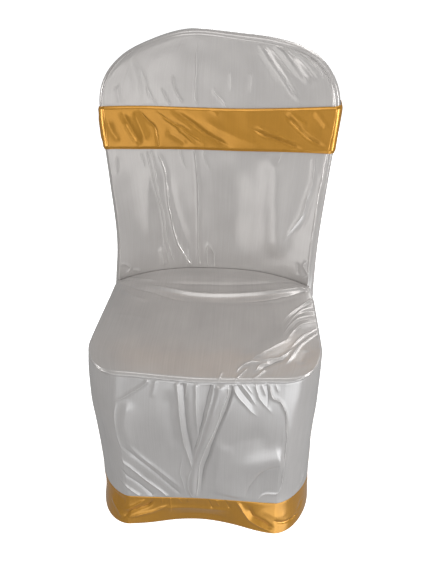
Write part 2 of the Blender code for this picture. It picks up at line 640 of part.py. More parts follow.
def back_lines():
    """The outline of the back at the points of its grid: its left side, its top and its right side. The sides
    have the skirt's points below the seat, and every second one of the backrest's above it."""
    left_below, _, right_below = outline(HEM_SEAM)
    left, top, right = outline(JUNCTION)
    heights = HEM_SEAM + (JUNCTION - HEM_SEAM) * shares(SKIRT_ROWS, SKIRT_CUT.length)[:-1]
    across, above = (share[::2] for share in rest_shares())

    def side(below, line):
        rows = [np.interp(heights, below[:, 1], column) for column in below.T]
        return np.concatenate([np.stack(rows, -1), walk(line, above)])

    return side(left_below, left), walk(top, across), side(right_below, right)


def back_grids():
    """The back panel: its flat part, and the strip that turns round the sides and the top, with a shared edge."""
    left, top, right = back_lines()

    s = rest_shares()[0][::2]
    t = (left[:, 1] - left[0, 1]) / (left[-1, 1] - left[0, 1])

    def edge(line, own):
        inner = drawn_in(line, along(REARS, "corner", line[:, 1]))
        return lambda share: np.stack([np.interp(share, own, column) for column in inner.T], -1)

    left_edge, right_edge = edge(left, t), edge(right, t)

    def bottom(share):
        start, end = left_edge(0.0), right_edge(0.0)
        return start + (end - start) * share[:, None]

    xz = coons(bottom, edge(top, s), left_edge, right_edge, s, t)
    x, z = xz[..., 0], xz[..., 1]
    flat = np.stack([x, back_surface(x, z), z], -1)
    stations = np.concatenate([left, top[1:-1], right[::-1]])
    strip = np.array([turned_way(row) for row in stations])
    strip[:, -1] = np.concatenate([flat[:, 0], flat[-1, 1:-1], flat[::-1, -1]])
    return flat, strip


# Folds


def relief(s, t, cut, folds):
    """How far each point of a panel's grid is raised by its folds."""
    across, up = np.meshgrid(s * cut.width, t * cut.length)
    raised = np.zeros(across.shape)
    for fold in folds:
        start = np.array([fold.across0 * cut.width, fold.up0 * cut.length])
        run = np.array([fold.across1 * cut.width, fold.up1 * cut.length]) - start
        length = np.linalg.norm(run)
        dx, dy = across - start[0], up - start[1]
        place = (dx * run[0] + dy * run[1]) / length**2
        aside = (dx * run[1] - dy * run[0]) / length
        ends = ease(place * 4 + 0.5) * ease((1 - place) * 4 + 0.5)
        raised += fold.height * ends * np.exp(-((aside / fold.width) ** 2))
    return raised


def near_seams(s, t, cut, sides, foot, head):
    """0 on the seams of a panel, and 1 away from them. The flags say which of its edges are seams."""
    edges = []
    if sides:
        edges.append(np.minimum(s, 1 - s)[None] * cut.width + 0 * t[:, None])
    if foot:
        edges.append(t[:, None] * cut.length + 0 * s)
    if head:
        edges.append((1 - t)[:, None] * cut.length + 0 * s)
    return ease(np.min(edges, axis=0) / RELIEF_FADE)


# Building the pieces


def clear_scene():
    for obj in list(bpy.data.objects):
        bpy.data.objects.remove(obj, do_unlink=True)


def satin(name, colour, roughness):
    """A lustrous satin: a Principled material with a soft sheen."""
    material = bpy.data.materials.new(name)
    material.use_nodes = True
    shader = material.node_tree.nodes["Principled BSDF"]
    shader.inputs["Base Color"].default_value = (*colour, 1.0)
    shader.inputs["Roughness"].default_value = roughness
    shader.inputs["Metallic"].default_value = 0.0
    shader.inputs["Sheen Weight"].default_value = 0.3
    return material


def grid_faces(rows, columns, first=0, closed=False):
    """Faces of a grid of points, which point out where its rows run up and its columns run to the right."""
    wide = columns if closed else columns - 1
    faces = []
    for j in range(rows - 1):
        for i in range(wide):
            a, b = first + j * columns + i, first + j * columns + (i + 1) % columns
            faces.append((a, b, b + columns, a + columns))
    return faces


def sheet(name, points, faces, raised, material, collection, outward=False):
    """An object of cloth: its points are moved along their normals by the folds, and the cloth gets its
    thickness on the inside, or outside where outward is set."""
    mesh = bpy.data.meshes.new(name)
    mesh.from_pydata(points.tolist(), [], faces)
    mesh.update()
    normals = np.empty(len(points) * 3, np.float32)
    mesh.vertex_normals.foreach_get("vector", normals)
    moved = points + normals.reshape(-1, 3) * np.reshape(raised, (-1, 1))
    mesh.vertices.foreach_set("co", moved.astype(np.float32).ravel())
    mesh.materials.append(material)
    mesh.shade_smooth()
    mesh.update()
    obj = bpy.data.objects.new(name, mesh)
    collection.objects.link(obj)
    thickness = obj.modifiers.new("Cloth", "SOLIDIFY")
    thickness.thickness = CLOTH
    thickness.offset = 1.0 if outward else -1.0
    return obj


def add_white_panels(material, collection):
    """The panels in front and at the sides, each sewn on all round."""
    for name, (points, s, t), cut, folds in (
        ("rest_front", rest_grid(), REST_CUT, REST_FOLDS),
        ("seat", seat_grid(), SEAT_CUT, SEAT_FOLDS),
        ("skirt", skirt_grid(), SKIRT_CUT, SKIRT_FOLDS),
    ):
        raised = relief(s, t, cut, folds) * near_seams(s, t, cut, sides=True, foot=True, head=True)
        sheet(name, points.reshape(-1, 3), grid_faces(len(t), len(s)), raised, material, collection)


def add_back_panel(material, collection):
    flat, strip = back_grids()
    points = np.concatenate([flat.reshape(-1, 3), strip.reshape(-1, 3)])
    faces = grid_faces(*flat.shape[:2]) + grid_faces(*strip.shape[:2], first=flat.shape[0] * flat.shape[1])
    points, kept = np.unique(np.round(points, 7), axis=0, return_inverse=True)
    faces = kept.ravel()[np.array(faces)[:, ::-1]].tolist()
    sheet("back_panel", points, faces, np.zeros(len(points)), material, collection)


def add_gold_rings(material, collection):
    """The border, sewn on along its top, and the band, which hugs the cover from outside."""
    points, s, t = border_grid(BORDER_COLUMNS, BORDER_ROWS)
    raised = relief(s, t, BORDER_CUT, BORDER_FOLDS) + along(HEMS, "out", s) * (1 - t)[:, None]
    raised *= near_seams(s, t, BORDER_CUT, sides=False, foot=False, head=True)
    faces = grid_faces(len(t), len(s), closed=True)
    sheet("hem_border", points.reshape(-1, 3), faces, raised, material, collection)

    points, s, t = sash_grid(2 * (BAND_FRONT + BAND_EDGE + BAND_SIDE + BAND_CORNER + BAND_BACK), SASH_ROWS)
    raised = relief(s, t, SASH_CUT, SASH_FOLDS) + SASH_CLEARANCE
    faces = grid_faces(len(t), len(s), closed=True)
    sheet("sash", points.reshape(-1, 3), faces, raised, material, collection, outward=True)


def build():
    clear_scene()
    collection = bpy.data.collections.new("chair_cover")
    bpy.context.scene.collection.children.link(collection)
    white = satin("white_satin", (0.60, 0.585, 0.565), 0.38)
    gold = satin("gold_satin", (0.64, 0.36, 0.066), 0.36)
    add_white_panels(white, collection)
    add_back_panel(white, collection)
    add_gold_rings(gold, collection)


build()
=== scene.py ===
"""Looks of a fitted satin chair cover, with a gold band round its backrest and a gold border round its hem.

Metres, +Z up, the front faces -Y. Every panel is a fine sheet of cloth on the form of its solid, raised and
sunk by the folds in its table. The chair inside isn't built, so the cover is hollow.

Many points of the folds were computed by another program and then adjusted. So were the first values of the
form's tables, the camera's place and the lamps' powers. They aren't all numbers chosen by hand.
"""

import logging
import math
from dataclasses import dataclass, field
from enum import Enum
from functools import partial
from typing import Callable, NamedTuple

import bpy
import numpy as np
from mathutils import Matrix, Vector


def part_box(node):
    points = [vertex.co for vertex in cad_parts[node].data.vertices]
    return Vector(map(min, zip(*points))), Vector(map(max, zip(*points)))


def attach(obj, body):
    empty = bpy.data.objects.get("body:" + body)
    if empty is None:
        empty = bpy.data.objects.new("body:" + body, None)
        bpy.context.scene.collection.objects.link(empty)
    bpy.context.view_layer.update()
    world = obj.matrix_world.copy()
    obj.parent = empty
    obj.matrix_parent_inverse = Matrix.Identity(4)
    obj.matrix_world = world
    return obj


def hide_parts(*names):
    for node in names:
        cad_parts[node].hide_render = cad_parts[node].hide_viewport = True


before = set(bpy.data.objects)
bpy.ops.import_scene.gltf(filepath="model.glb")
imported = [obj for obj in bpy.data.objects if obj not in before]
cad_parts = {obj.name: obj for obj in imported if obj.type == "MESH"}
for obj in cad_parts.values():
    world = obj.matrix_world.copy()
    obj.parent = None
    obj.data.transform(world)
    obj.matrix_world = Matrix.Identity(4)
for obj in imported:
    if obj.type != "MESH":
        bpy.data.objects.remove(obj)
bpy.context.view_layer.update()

log = logging.getLogger("chair_cover")

Grid = np.ndarray
EdgeLine = Callable[[Grid], Grid]
Layers = tuple[Grid, list[list[int]], Grid]
# crease lines, which the material raises in relief and also paints: a painted highlight, or painted shade
# where sunk
CREASE_SETS = ("welt", "creases_1", "creases_2", "creases_3")  # attributes of a panel, for its finish
MILLIMETRES = 1000.0  # in a metre
SHARP_ANGLE = math.radians(60)  # between faces, from which an edge isn't shaded smoothly


class Held(Enum):
    """How a panel is held: stretched over the chair, or gathered on a seam."""

    STRETCHED = "stretched"
    GATHERED = "gathered"


class Width(NamedTuple):
    """The cover's sides at one height."""

    height: float
    left: float
    right: float


class Slack(NamedTuple):
    """How far the round top's outline lies below a true arch at one x."""

    x: float
    drop: float


class Front(NamedTuple):
    """The front of the skirt at one height: the line between its corners, how far its middle stands back, the
    size of its corners, the power of their curve, and how far its sides stand in from the cover's width."""

    height: float
    line: float
    stand_back: float
    corner_x: float
    corner_y: float
    power: float
    side_in: float


class Rear(NamedTuple):
    """The backrest at one height: its front edge, its back, the sink of the front panel and the swell of the
    back one in the middle, and the radius of the rear corners."""

    height: float
    face: float
    back: float
    dish: float
    swell: float
    corner: float


class Rim(NamedTuple):
    """Height of the seat's seam at one share of the way round it."""

    around: float
    height: float


class Hem(NamedTuple):
    """How the border's lower edge strays from an even ring, at one share of the way round it."""

    around: float
    out: float
    lift: float


class Band(NamedTuple):
    """Height of the band's edges, from the cover's left edge (-1) to its right one (1)."""

    aside: float
    bottom: float
    top: float


def along(table: tuple[NamedTuple, ...], column: str, position: Grid | float) -> Grid:
    """A smooth curve through one column of a table.

    Args:
        table: rows in order of their first column.
        column: name of the column to read.
        position: values of the first column.

    Returns:
        The column's value at each position.
    """
    xs = np.array([row[0] for row in table])
    ys = np.array([getattr(row, column) for row in table])
    slopes = np.gradient(ys, xs)
    x = np.clip(np.asarray(position, float), xs[0], xs[-1])
    i = np.clip(np.searchsorted(xs, x) - 1, 0, len(xs) - 2)
    span = xs[i + 1] - xs[i]
    t = (x - xs[i]) / span
    rise = ys[i] + (ys[i + 1] - ys[i]) * t * t * (3 - 2 * t)
    return rise + span * t * (1 - t) * (slopes[i] * (1 - t) - slopes[i + 1] * t)


def ease(t: Grid | float) -> Grid:
    """0 below 0, 1 above 1, and a smooth step between them."""
    t = np.clip(t, 0.0, 1.0)
    return t * t * (3 - 2 * t)


def quarter(depth: Grid | float, radius: Grid | float) -> Grid:
    """Height of a quarter circle of this radius, at this depth in from its upright side."""
    inner = radius - np.clip(depth, 0.0, radius)
    return np.sqrt(np.maximum(radius**2 - inner**2, 0.0))


def walk(line: Grid, share: Grid | float) -> Grid:
    """Finds places along a line of points.

    Args:
        line: rows whose first two columns are a place.
        share: shares of the line's length.

    Returns:
        A row like the line's own for each share.
    """
    steps = np.linalg.norm(np.diff(line[:, :2], axis=0), axis=1)
    length = np.concatenate([[0], np.cumsum(steps)])
    places = np.asarray(share, float) * length[-1]
    return np.stack([np.interp(places, length, column) for column in line.T], -1)


def coons(bottom: EdgeLine, top: EdgeLine, left: EdgeLine, right: EdgeLine, s: Grid, t: Grid) -> Grid:
    """Points between four edge curves.

    Args:
        bottom: points at shares from left to right.
        top: points at shares from left to right.
        left: points at shares upwards.
        right: points at shares upwards.
        s: shares of the columns.
        t: shares of the rows.

    Returns:
        An array with a row for each t and a column for each s.
    """
    across, up = s[None, :, None], t[:, None, None]
    low, high = bottom(np.array([0.0, 1.0])), top(np.array([0.0, 1.0]))
    sides = left(t)[:, None] * (1 - across) + right(t)[:, None] * across
    ends = bottom(s)[None] * (1 - up) + top(s)[None] * up
    low_line = low[0] * (1 - across) + low[1] * across
    high_line = high[0] * (1 - across) + high[1] * across
    return sides + ends - low_line * (1 - up) - high_line * up


def drawn_in(rows: Grid, inset: Grid | float) -> Grid:
    """(x, z) of points that lie this far in from the rows of an outline."""
    return rows[:, :2] - rows[:, 2:] * np.reshape(inset, (-1, 1))


@dataclass(frozen=True)
class CoverForm:
    """The smooth form under the folds: the backrest's outline and surfaces, and the rings below it."""

    cloth: float = 0.001
    seam_gap: float = 0.0003
    hem_seam: float = 0.078
    junction: float = 0.389
    foot_rise: float = 0.0225
    foot_power: float = 2.6
    shoulder: float = 0.732
    level_below: float = 0.072
    arch_rise: float = 0.147
    arch_power: float = 2.4
    arch_lean: float = 0.012
    side_steps: int = 480
    arch_steps: int = 1441
    least_slope: float = 1e-3
    patch_corner: float = 0.75
    front_edge: float = 0.013
    inset_left: float = 0.004
    inset_right: float = 0.010
    inset_change: float = 0.3
    seam_fade: float = 0.030
    seat_roll: float = 0.007
    seat_dish: float = 0.012
    skirt_side: float = 0.50
    skirt_corner: float = 0.22
    skirt_spread: float = 3.0
    back_side: float = 0.26
    back_corner: float = 0.20
    back_spread: float = 4.0
    front_of_ring: float = 0.62
    band_steps: tuple[int, ...] = (13, 3, 2, 4, 8)
    widths: tuple[Width, ...] = (
        Width(0.000, -0.230, 0.210),
        Width(0.078, -0.220, 0.204),
        Width(0.200, -0.220, 0.203),
        Width(0.300, -0.221, 0.205),
        Width(0.389, -0.217, 0.208),
        Width(0.450, -0.212, 0.210),
        Width(0.600, -0.2235, 0.2235),
        Width(0.665, -0.231, 0.231),
        Width(0.732, -0.238, 0.238),
        Width(0.900, -0.238, 0.238),
    )
    slacks: tuple[Slack, ...] = (
        Slack(-0.240, 0.000),
        Slack(-0.150, 0.006),
        Slack(-0.060, 0.000),
        Slack(0.050, 0.006),
        Slack(0.110, 0.004),
        Slack(0.190, -0.002),
        Slack(0.240, 0.000),
    )
    fronts: tuple[Front, ...] = (
        Front(0.000, -0.223, 0.024, 0.076, 0.110, 1.8, 0.000),
        Front(0.078, -0.216, 0.003, 0.068, 0.085, 1.6, 0.000),
        Front(0.200, -0.228, 0.000, 0.066, 0.088, 1.5, 0.000),
        Front(0.300, -0.240, -0.003, 0.066, 0.090, 1.6, 0.000),
        Front(0.407, -0.249, -0.006, 0.068, 0.090, 2.0, 0.006),
    )
    rears: tuple[Rear, ...] = (
        Rear(0.000, 0.098, 0.200, 0.000, 0.006, 0.050),
        Rear(0.200, 0.094, 0.198, 0.000, 0.006, 0.045),
        Rear(0.389, 0.092, 0.202, 0.028, 0.010, 0.034),
        Rear(0.500, 0.119, 0.211, 0.020, 0.014, 0.028),
        Rear(0.665, 0.158, 0.226, 0.006, 0.015, 0.023),
        Rear(0.780, 0.186, 0.237, 0.002, 0.013, 0.020),
        Rear(0.900, 0.215, 0.252, 0.000, 0.008, 0.018),
    )
    rims: tuple[Rim, ...] = (
        Rim(0.00, 0.389),
        Rim(0.12, 0.401),
        Rim(0.25, 0.411),
        Rim(0.36, 0.408),
        Rim(0.50, 0.405),
        Rim(0.64, 0.407),
        Rim(0.75, 0.412),
        Rim(0.88, 0.401),
        Rim(1.00, 0.389),
    )
    hems: tuple[Hem, ...] = (
        Hem(0.00, 0.000, 0.000),
        Hem(0.10, 0.002, 0.001),
        Hem(0.16, -0.005, 0.000),
        Hem(0.19, 0.001, 0.000),
        Hem(0.23, -0.004, 0.001),
        Hem(0.27, -0.003, 0.001),
        Hem(0.31, 0.000, 0.000),
        Hem(0.36, -0.001, 0.000),
        Hem(0.40, 0.003, 0.001),
        Hem(0.44, 0.000, 0.000),
        Hem(0.54, 0.003, 0.000),
        Hem(0.70, -0.003, 0.002),
        Hem(0.82, 0.004, 0.000),
        Hem(0.90, -0.003, 0.001),
        Hem(1.00, 0.000, 0.000),
    )
    bands: tuple[Band, ...] = (
        Band(-1.00, 0.6520, 0.7335),
        Band(-0.80, 0.6585, 0.7390),
        Band(-0.50, 0.6600, 0.7420),
        Band(-0.15, 0.6605, 0.7403),
        Band(0.15, 0.6593, 0.7397),
        Band(0.45, 0.6597, 0.7425),
        Band(0.80, 0.6590, 0.7480),
        Band(1.00, 0.6590, 0.7510),
    )

    def width(self, side: str, z: Grid | float) -> Grid:
        """x of the cover's left or right side at this height."""
        return along(self.widths, side, z)

    def rear(self, column: str, z: Grid | float) -> Grid:
        """One measure of the backrest at this height."""
        return along(self.rears, column, z)

    def arch_share(self, x: Grid, z: Grid) -> Grid:
        """How far up the round top a point is: 0 at the shoulder, 1 at the top."""
        return np.clip((z + along(self.slacks, "drop", x) - self.shoulder) / self.arch_rise, 0.0, 1.0)

    def centre(self, z: Grid | float) -> Grid:
        """x of the middle of the backrest, which leans to the left in the round top."""
        return -self.arch_lean * ease((z - self.shoulder) / self.arch_rise)

    def across_share(self, x: Grid, z: Grid) -> tuple[Grid, Grid]:
        """How far aside points of the backrest are.

        Args:
            x: their x.
            z: their heights.

        Returns:
            Their shares of the way from the middle to the side, and the length of that way.
        """
        middle = self.centre(z)
        side = np.where(x < middle, self.width("left", z), self.width("right", z))
        width = np.abs(side - middle)
        return np.abs(x - middle) / width, width

    def fullness(self, x: Grid, z: Grid) -> Grid:
        """1 in the middle of the backrest, falling to 0 on its outline."""
        across, _ = self.across_share(x, z)
        return np.maximum(1 - across**self.arch_power - self.arch_share(x, z) ** self.arch_power, 0.0)

    def inset_depth(self, x: Grid, z: Grid) -> Grid:
        """Roughly how far in from the backrest's outline points are.

        Args:
            x: their x.
            z: their heights.

        Returns:
            The depth of each.
        """
        across, width = self.across_share(x, z)
        slope_x = self.arch_power * across ** (self.arch_power - 1) / width
        slope_z = self.arch_power * self.arch_share(x, z) ** (self.arch_power - 1) / self.arch_rise
        return self.fullness(x, z) / np.maximum(np.hypot(slope_x, slope_z), self.least_slope)

    def front_surface(self, x: Grid, z: Grid) -> Grid:
        """y of the front panel of the backrest."""
        edge = self.front_edge - quarter(self.inset_depth(x, z), self.front_edge)
        return self.rear("face", z) + edge + self.rear("dish", z) * self.fullness(x, z)

    def back_surface(self, x: Grid, z: Grid) -> Grid:
        """The surface of the back panel, where it faces backwards.

        Args:
            x: x of its points.
            z: their heights.

        Returns:
            y of each point.
        """
        corner = self.rear("corner", z)
        edge = corner - quarter(self.inset_depth(x, z), corner)
        return self.rear("back", z) - edge + self.rear("swell", z) * self.fullness(x, z)

    def outline(self, start_height: float) -> tuple[Grid, Grid, Grid]:
        """The cover's outline seen from the front.

        Args:
            start_height: where its sides start.

        Returns:
            Rows (x, z, outward x, outward z) of the left side upwards, the top from left to right, and the
            right side upwards. Outward is level below the round top.
        """
        rise = np.linspace(start_height, self.shoulder, self.side_steps)[:-1]
        turn = np.linspace(math.pi, 0, self.arch_steps)
        height = self.shoulder + self.arch_rise * np.abs(np.sin(turn)) ** (2 / self.arch_power)
        left, right = (float(self.width(side, self.shoulder)) for side in ("left", "right"))
        reach = np.abs(np.where(turn > math.pi / 2, left, right) - self.centre(height))
        across = np.sign(np.cos(turn)) * np.abs(np.cos(turn)) ** (2 / self.arch_power)
        arch = self.centre(height) + reach * across
        height = height - along(self.slacks, "drop", arch)
        x = np.concatenate([self.width("left", rise), arch, self.width("right", rise[::-1])])
        z = np.concatenate([rise, height, rise[::-1]])
        outward = np.stack([-np.gradient(z), np.gradient(x)], -1)
        outward[:, 1] *= ease(1 - (self.shoulder - z) / self.level_below)
        outward /= np.linalg.norm(outward, axis=1, keepdims=True)
        rows = np.column_stack([x, z, outward])
        high = np.flatnonzero(z > self.shoulder + self.patch_corner * self.arch_rise)
        first, last = high[0], high[-1]
        return rows[: first + 1], rows[first : last + 1], rows[last:][::-1]

    def seam_share(self, z: Grid | float) -> Grid:
        """1 on the backrest, and 0 below the seat, where the backrest's front edge has run out."""
        return ease((z - self.junction + self.seam_fade) / self.seam_fade)

    def seam_inset(self, x: Grid, z: Grid) -> Grid:
        """How far in from the outline the backrest's seam runs."""
        change = ease(x / self.inset_change + 0.5)
        return (self.inset_left + (self.inset_right - self.inset_left) * change) * self.seam_share(z)

    def edge_surface(self, x: Grid, z: Grid) -> Grid:
        """y of the cloth by the backrest's seam, which on its way down leaves the front panel's surface."""
        face = self.rear("face", z)
        return face + (self.front_surface(x, z) - face) * self.seam_share(z)

    def foot_seam(self, share: Grid) -> Grid:
        """The seam across the foot of the backrest.

        Args:
            share: shares of the way from left to right.

        Returns:
            (x, z) of each.
        """
        left = float(self.width("left", self.junction)) + self.inset_left
        right = float(self.width("right", self.junction)) - self.inset_right
        height = self.junction + self.foot_rise * (1 - np.abs(2 * share - 1) ** self.foot_power)
        return np.stack([left + (right - left) * share, height], -1)

    def upright_seam(self, on_left: Grid, z: Grid) -> tuple[Grid, Grid]:
        """The seam between skirt and back panel, which runs on down from the backrest's seam.

        Args:
            on_left: whether it is the left one.
            z: heights.

        Returns:
            x and y of the seam.
        """
        edge = np.where(on_left, self.width("left", z), self.width("right", z))
        inset = self.seam_inset(edge, z)
        x = edge + np.where(on_left, inset, -inset)
        return x, self.edge_surface(x, z)

    def skirt_ring(self, around: Grid, z: Grid) -> tuple[Grid, Grid]:
        """The way round the skirt, from the left rear seam over the front to the right one.

        Args:
            around: shares of the way.
            z: heights.

        Returns:
            x and y of each place.
        """
        on_left = around < 0.5
        place = np.where(on_left, 2 * around, 2 - 2 * around)
        left, right = self.width("left", z), self.width("right", z)
        edge, toward = np.where(on_left, left, right), np.where(on_left, 1.0, -1.0)
        names = ("line", "corner_x", "corner_y", "power", "side_in")
        line, corner_x, corner_y, power, side_in = (along(self.fronts, name, z) for name in names)
        seam_x, seam_y = self.upright_seam(on_left, z)
        edge = edge + toward * side_in
        front_start = self.skirt_side + self.skirt_corner
        on_side = np.clip(place / self.skirt_side, 0, 1)
        turn = np.clip((place - self.skirt_side) / self.skirt_corner, 0, 1) * math.pi / 2
        on_front = np.clip((place - front_start) / (1 - front_start), 0, 1)
        inward, forward = 1 - np.abs(np.cos(turn)) ** (2 / power), np.abs(np.sin(turn)) ** (2 / power)
        x = edge + (seam_x - edge) * (1 - ease(self.skirt_spread * on_side)) + toward * corner_x * inward
        x = x + (0.5 * (left + right) - edge - toward * corner_x) * on_front
        y = seam_y + (line + corner_y - seam_y) * on_side - corner_y * forward
        return x, y + along(self.fronts, "stand_back", z) * ease(on_front)

    def back_ring(self, around: Grid, z: Grid) -> tuple[Grid, Grid]:
        """The way round the back, from the right seam behind the cover to the left one.

        Args:
            around: shares of the way.
            z: heights.

        Returns:
            x and y of each place.
        """
        on_left = around > 0.5
        place = np.where(on_left, 2 - 2 * around, 2 * around)
        left, right = self.width("left", z), self.width("right", z)
        edge, toward = np.where(on_left, left, right), np.where(on_left, 1.0, -1.0)
        back, corner = self.rear("back", z), self.rear("corner", z)
        seam_x, seam_y = self.upright_seam(on_left, z)
        back_start = self.back_side + self.back_corner
        on_side = np.clip(place / self.back_side, 0, 1)
        turn = np.clip((place - self.back_side) / self.back_corner, 0, 1) * math.pi / 2
        on_back = np.clip((place - back_start) / (1 - back_start), 0, 1)
        x = edge + (seam_x - edge) * (1 - ease(self.back_spread * on_side))
        x = x + toward * corner * (1 - np.cos(turn))
        x = x + (0.5 * (left + right) - edge - toward * corner) * on_back
        y = seam_y + (back - corner - seam_y) * on_side + corner * np.sin(turn)
        return x, y + self.rear("swell", z) * self.fullness(x, z) * ease(2 * turn / math.pi)

    def band_edges(self, aside: Grid) -> tuple[Grid, Grid]:
        """Heights of the band's two edges, from the cover's left edge (-1) to its right one (1)."""
        return along(self.bands, "bottom", aside), along(self.bands, "top", aside)

    def front_aside(self, x: Grid, z: Grid) -> Grid:
        """How far aside points of the front are, as the band's table counts it.

        Args:
            x: their x.
            z: their heights.

        Returns:
            From -1 to 1 for each.
        """
        steps = np.cumsum(self.band_steps)
        across, width = self.across_share(x, z)
        share = np.clip(across * width / (width - self.front_edge), 0, 1) * steps[0] / steps[2]
        return np.sign(x - self.centre(z)) * share

    def back_aside(self, x: Grid, z: Grid) -> Grid:
        """How far aside a point of the back is, as the band's table counts it."""
        return np.sign(x - self.centre(z)) * np.clip(self.across_share(x, z)[0], 0, 1)

    def rim(self, around: Grid) -> Grid:
        """(x, y, z) along the seat's seam."""
        z = along(self.rims, "height", around)
        return np.stack([*self.skirt_ring(around, z), z], -1)


@dataclass(frozen=True)
class Cut:
    """The flat size of a panel, in metres."""

    width: float
    length: float

    @property
    def area(self) -> float:
        """Area of the rectangle."""
        return self.width * self.length


class Beside(NamedTuple):
    """Points near a line: which they are, how far to its right each lies, and its share of the way along."""

    near: Grid
    aside: Grid
    place: Grid


def beside(line: Grid, flat: Grid, margin: float) -> Beside:
    """The points of a flat cloth that lie near a line.

    Args:
        line: points of the line, in metres on the flat cloth.
        flat: places of the cloth's points, in metres.
        margin: how far from the line's box points still count.

    Returns:
        The points near it, with their distances and their shares of the way along it.
    """
    low, high = line.min(axis=0) - margin, line.max(axis=0) + margin
    near = np.flatnonzero(((flat > low) & (flat < high)).all(axis=1))
    runs = np.diff(line, axis=0)
    squares = (runs**2).sum(axis=1)
    lengths = np.sqrt(squares)
    before = np.concatenate([[0], np.cumsum(lengths)[:-1]])
    offsets = flat[near][:, None] - line[:-1]
    part = np.clip((offsets * runs).sum(axis=2) / squares, 0, 1)
    distance = np.linalg.norm(offsets - part[..., None] * runs, axis=2)
    closest = distance.argmin(axis=1)
    row = np.arange(len(closest))
    run, off = runs[closest], offsets[row, closest]
    side = np.where(off[:, 0] * run[:, 1] > off[:, 1] * run[:, 0], 1.0, -1.0)
    place = (before[closest] + part[row, closest] * lengths[closest]) / lengths.sum()
    return Beside(near, side * distance[row, closest], place)


@dataclass(frozen=True)
class Fold:
    """A fold along a smooth line over its panel.

    Its points are shares of the way across the panel and of the way up. It is a ridge where its height is
    positive, and a trough where it is negative. Where it is crisp, a sharp crease runs along it, in relief
    and as
    a painted line: a painted highlight where crisp is positive, painted shade where it is negative.
    """

    path: tuple[tuple[float, float], ...]
    width: float
    height: float
    crisp: float = 0.0
    widen: float = 1.0
    lean: float = 0.0
    power: float = 1.6
    start: float = 0.25
    end: float = 0.25
    steps: int = 10
    reach: float = 3.0
    crease_reach: float = 0.0036
    crease_fade: float = 0.0012

    def line(self, cut: Cut) -> Grid:
        """The fold's line, smooth through its points.

        Args:
            cut: the panel's flat size.

        Returns:
            Points in metres on the flat cloth.
        """
        points = np.array(self.path) * (cut.width, cut.length)
        around = np.vstack([2 * points[0] - points[1], points, 2 * points[-1] - points[-2]])
        t = np.linspace(0, 1, self.steps, endpoint=False)[:, None]
        parts = [
            b + 0.5 * t * ((c - a) + t * (2 * a - 5 * b + 4 * c - d + t * (3 * (b - c) + d - a)))
            for a, b, c, d in zip(around, around[1:], around[2:], around[3:])
        ]
        return np.vstack([*parts, points[-1:]])

    def fading(self, place: Grid) -> Grid:
        """How strong the fold is at shares of the way along it."""
        fade = ease(place / self.start) if self.start else 1.0
        return fade * (ease((1 - place) / self.end) if self.end else 1.0)

    def raised(self, flat: Grid, cut: Cut) -> Grid:
        """How far the fold raises each point of its panel.

        Args:
            flat: places of the points on the flat cloth, in metres.
            cut: the panel's flat size.

        Returns:
            Metres outwards for each point.
        """
        margin = self.reach * self.width * max(1.0, self.widen) * (1 + abs(self.lean))
        near, aside, place = beside(self.line(cut), flat, margin)
        width = self.width * (1 + (self.widen - 1) * place)
        width = width * np.where(aside > 0, 1 - self.lean, 1 + self.lean)
        result = np.zeros(len(flat))
        result[near] = self.height * self.fading(place) * np.exp(-((np.abs(aside) / width) ** self.power))
        return result

    def crease(self, flat: Grid, cut: Cut) -> tuple[Grid, Grid, Grid]:
        """The crisp crease along the fold.

        Args:
            flat: places of the points on the flat cloth, in metres.
            cut: the panel's flat size.

        Returns:
            The points beside it, how far to its right each lies, and its strength there.
        """
        near, aside, place = beside(self.line(cut), flat, self.crease_reach)
        strength = self.crisp * self.fading(place)
        strength = strength * ease((self.crease_reach - np.abs(aside)) / self.crease_fade)
        kept = strength != 0
        return near[kept], aside[kept], strength[kept]


@dataclass
class Cloth:
    """The points of one panel, the faces between them and the place of each point on the flat cloth."""

    points: Grid
    faces: Grid
    flat: Grid


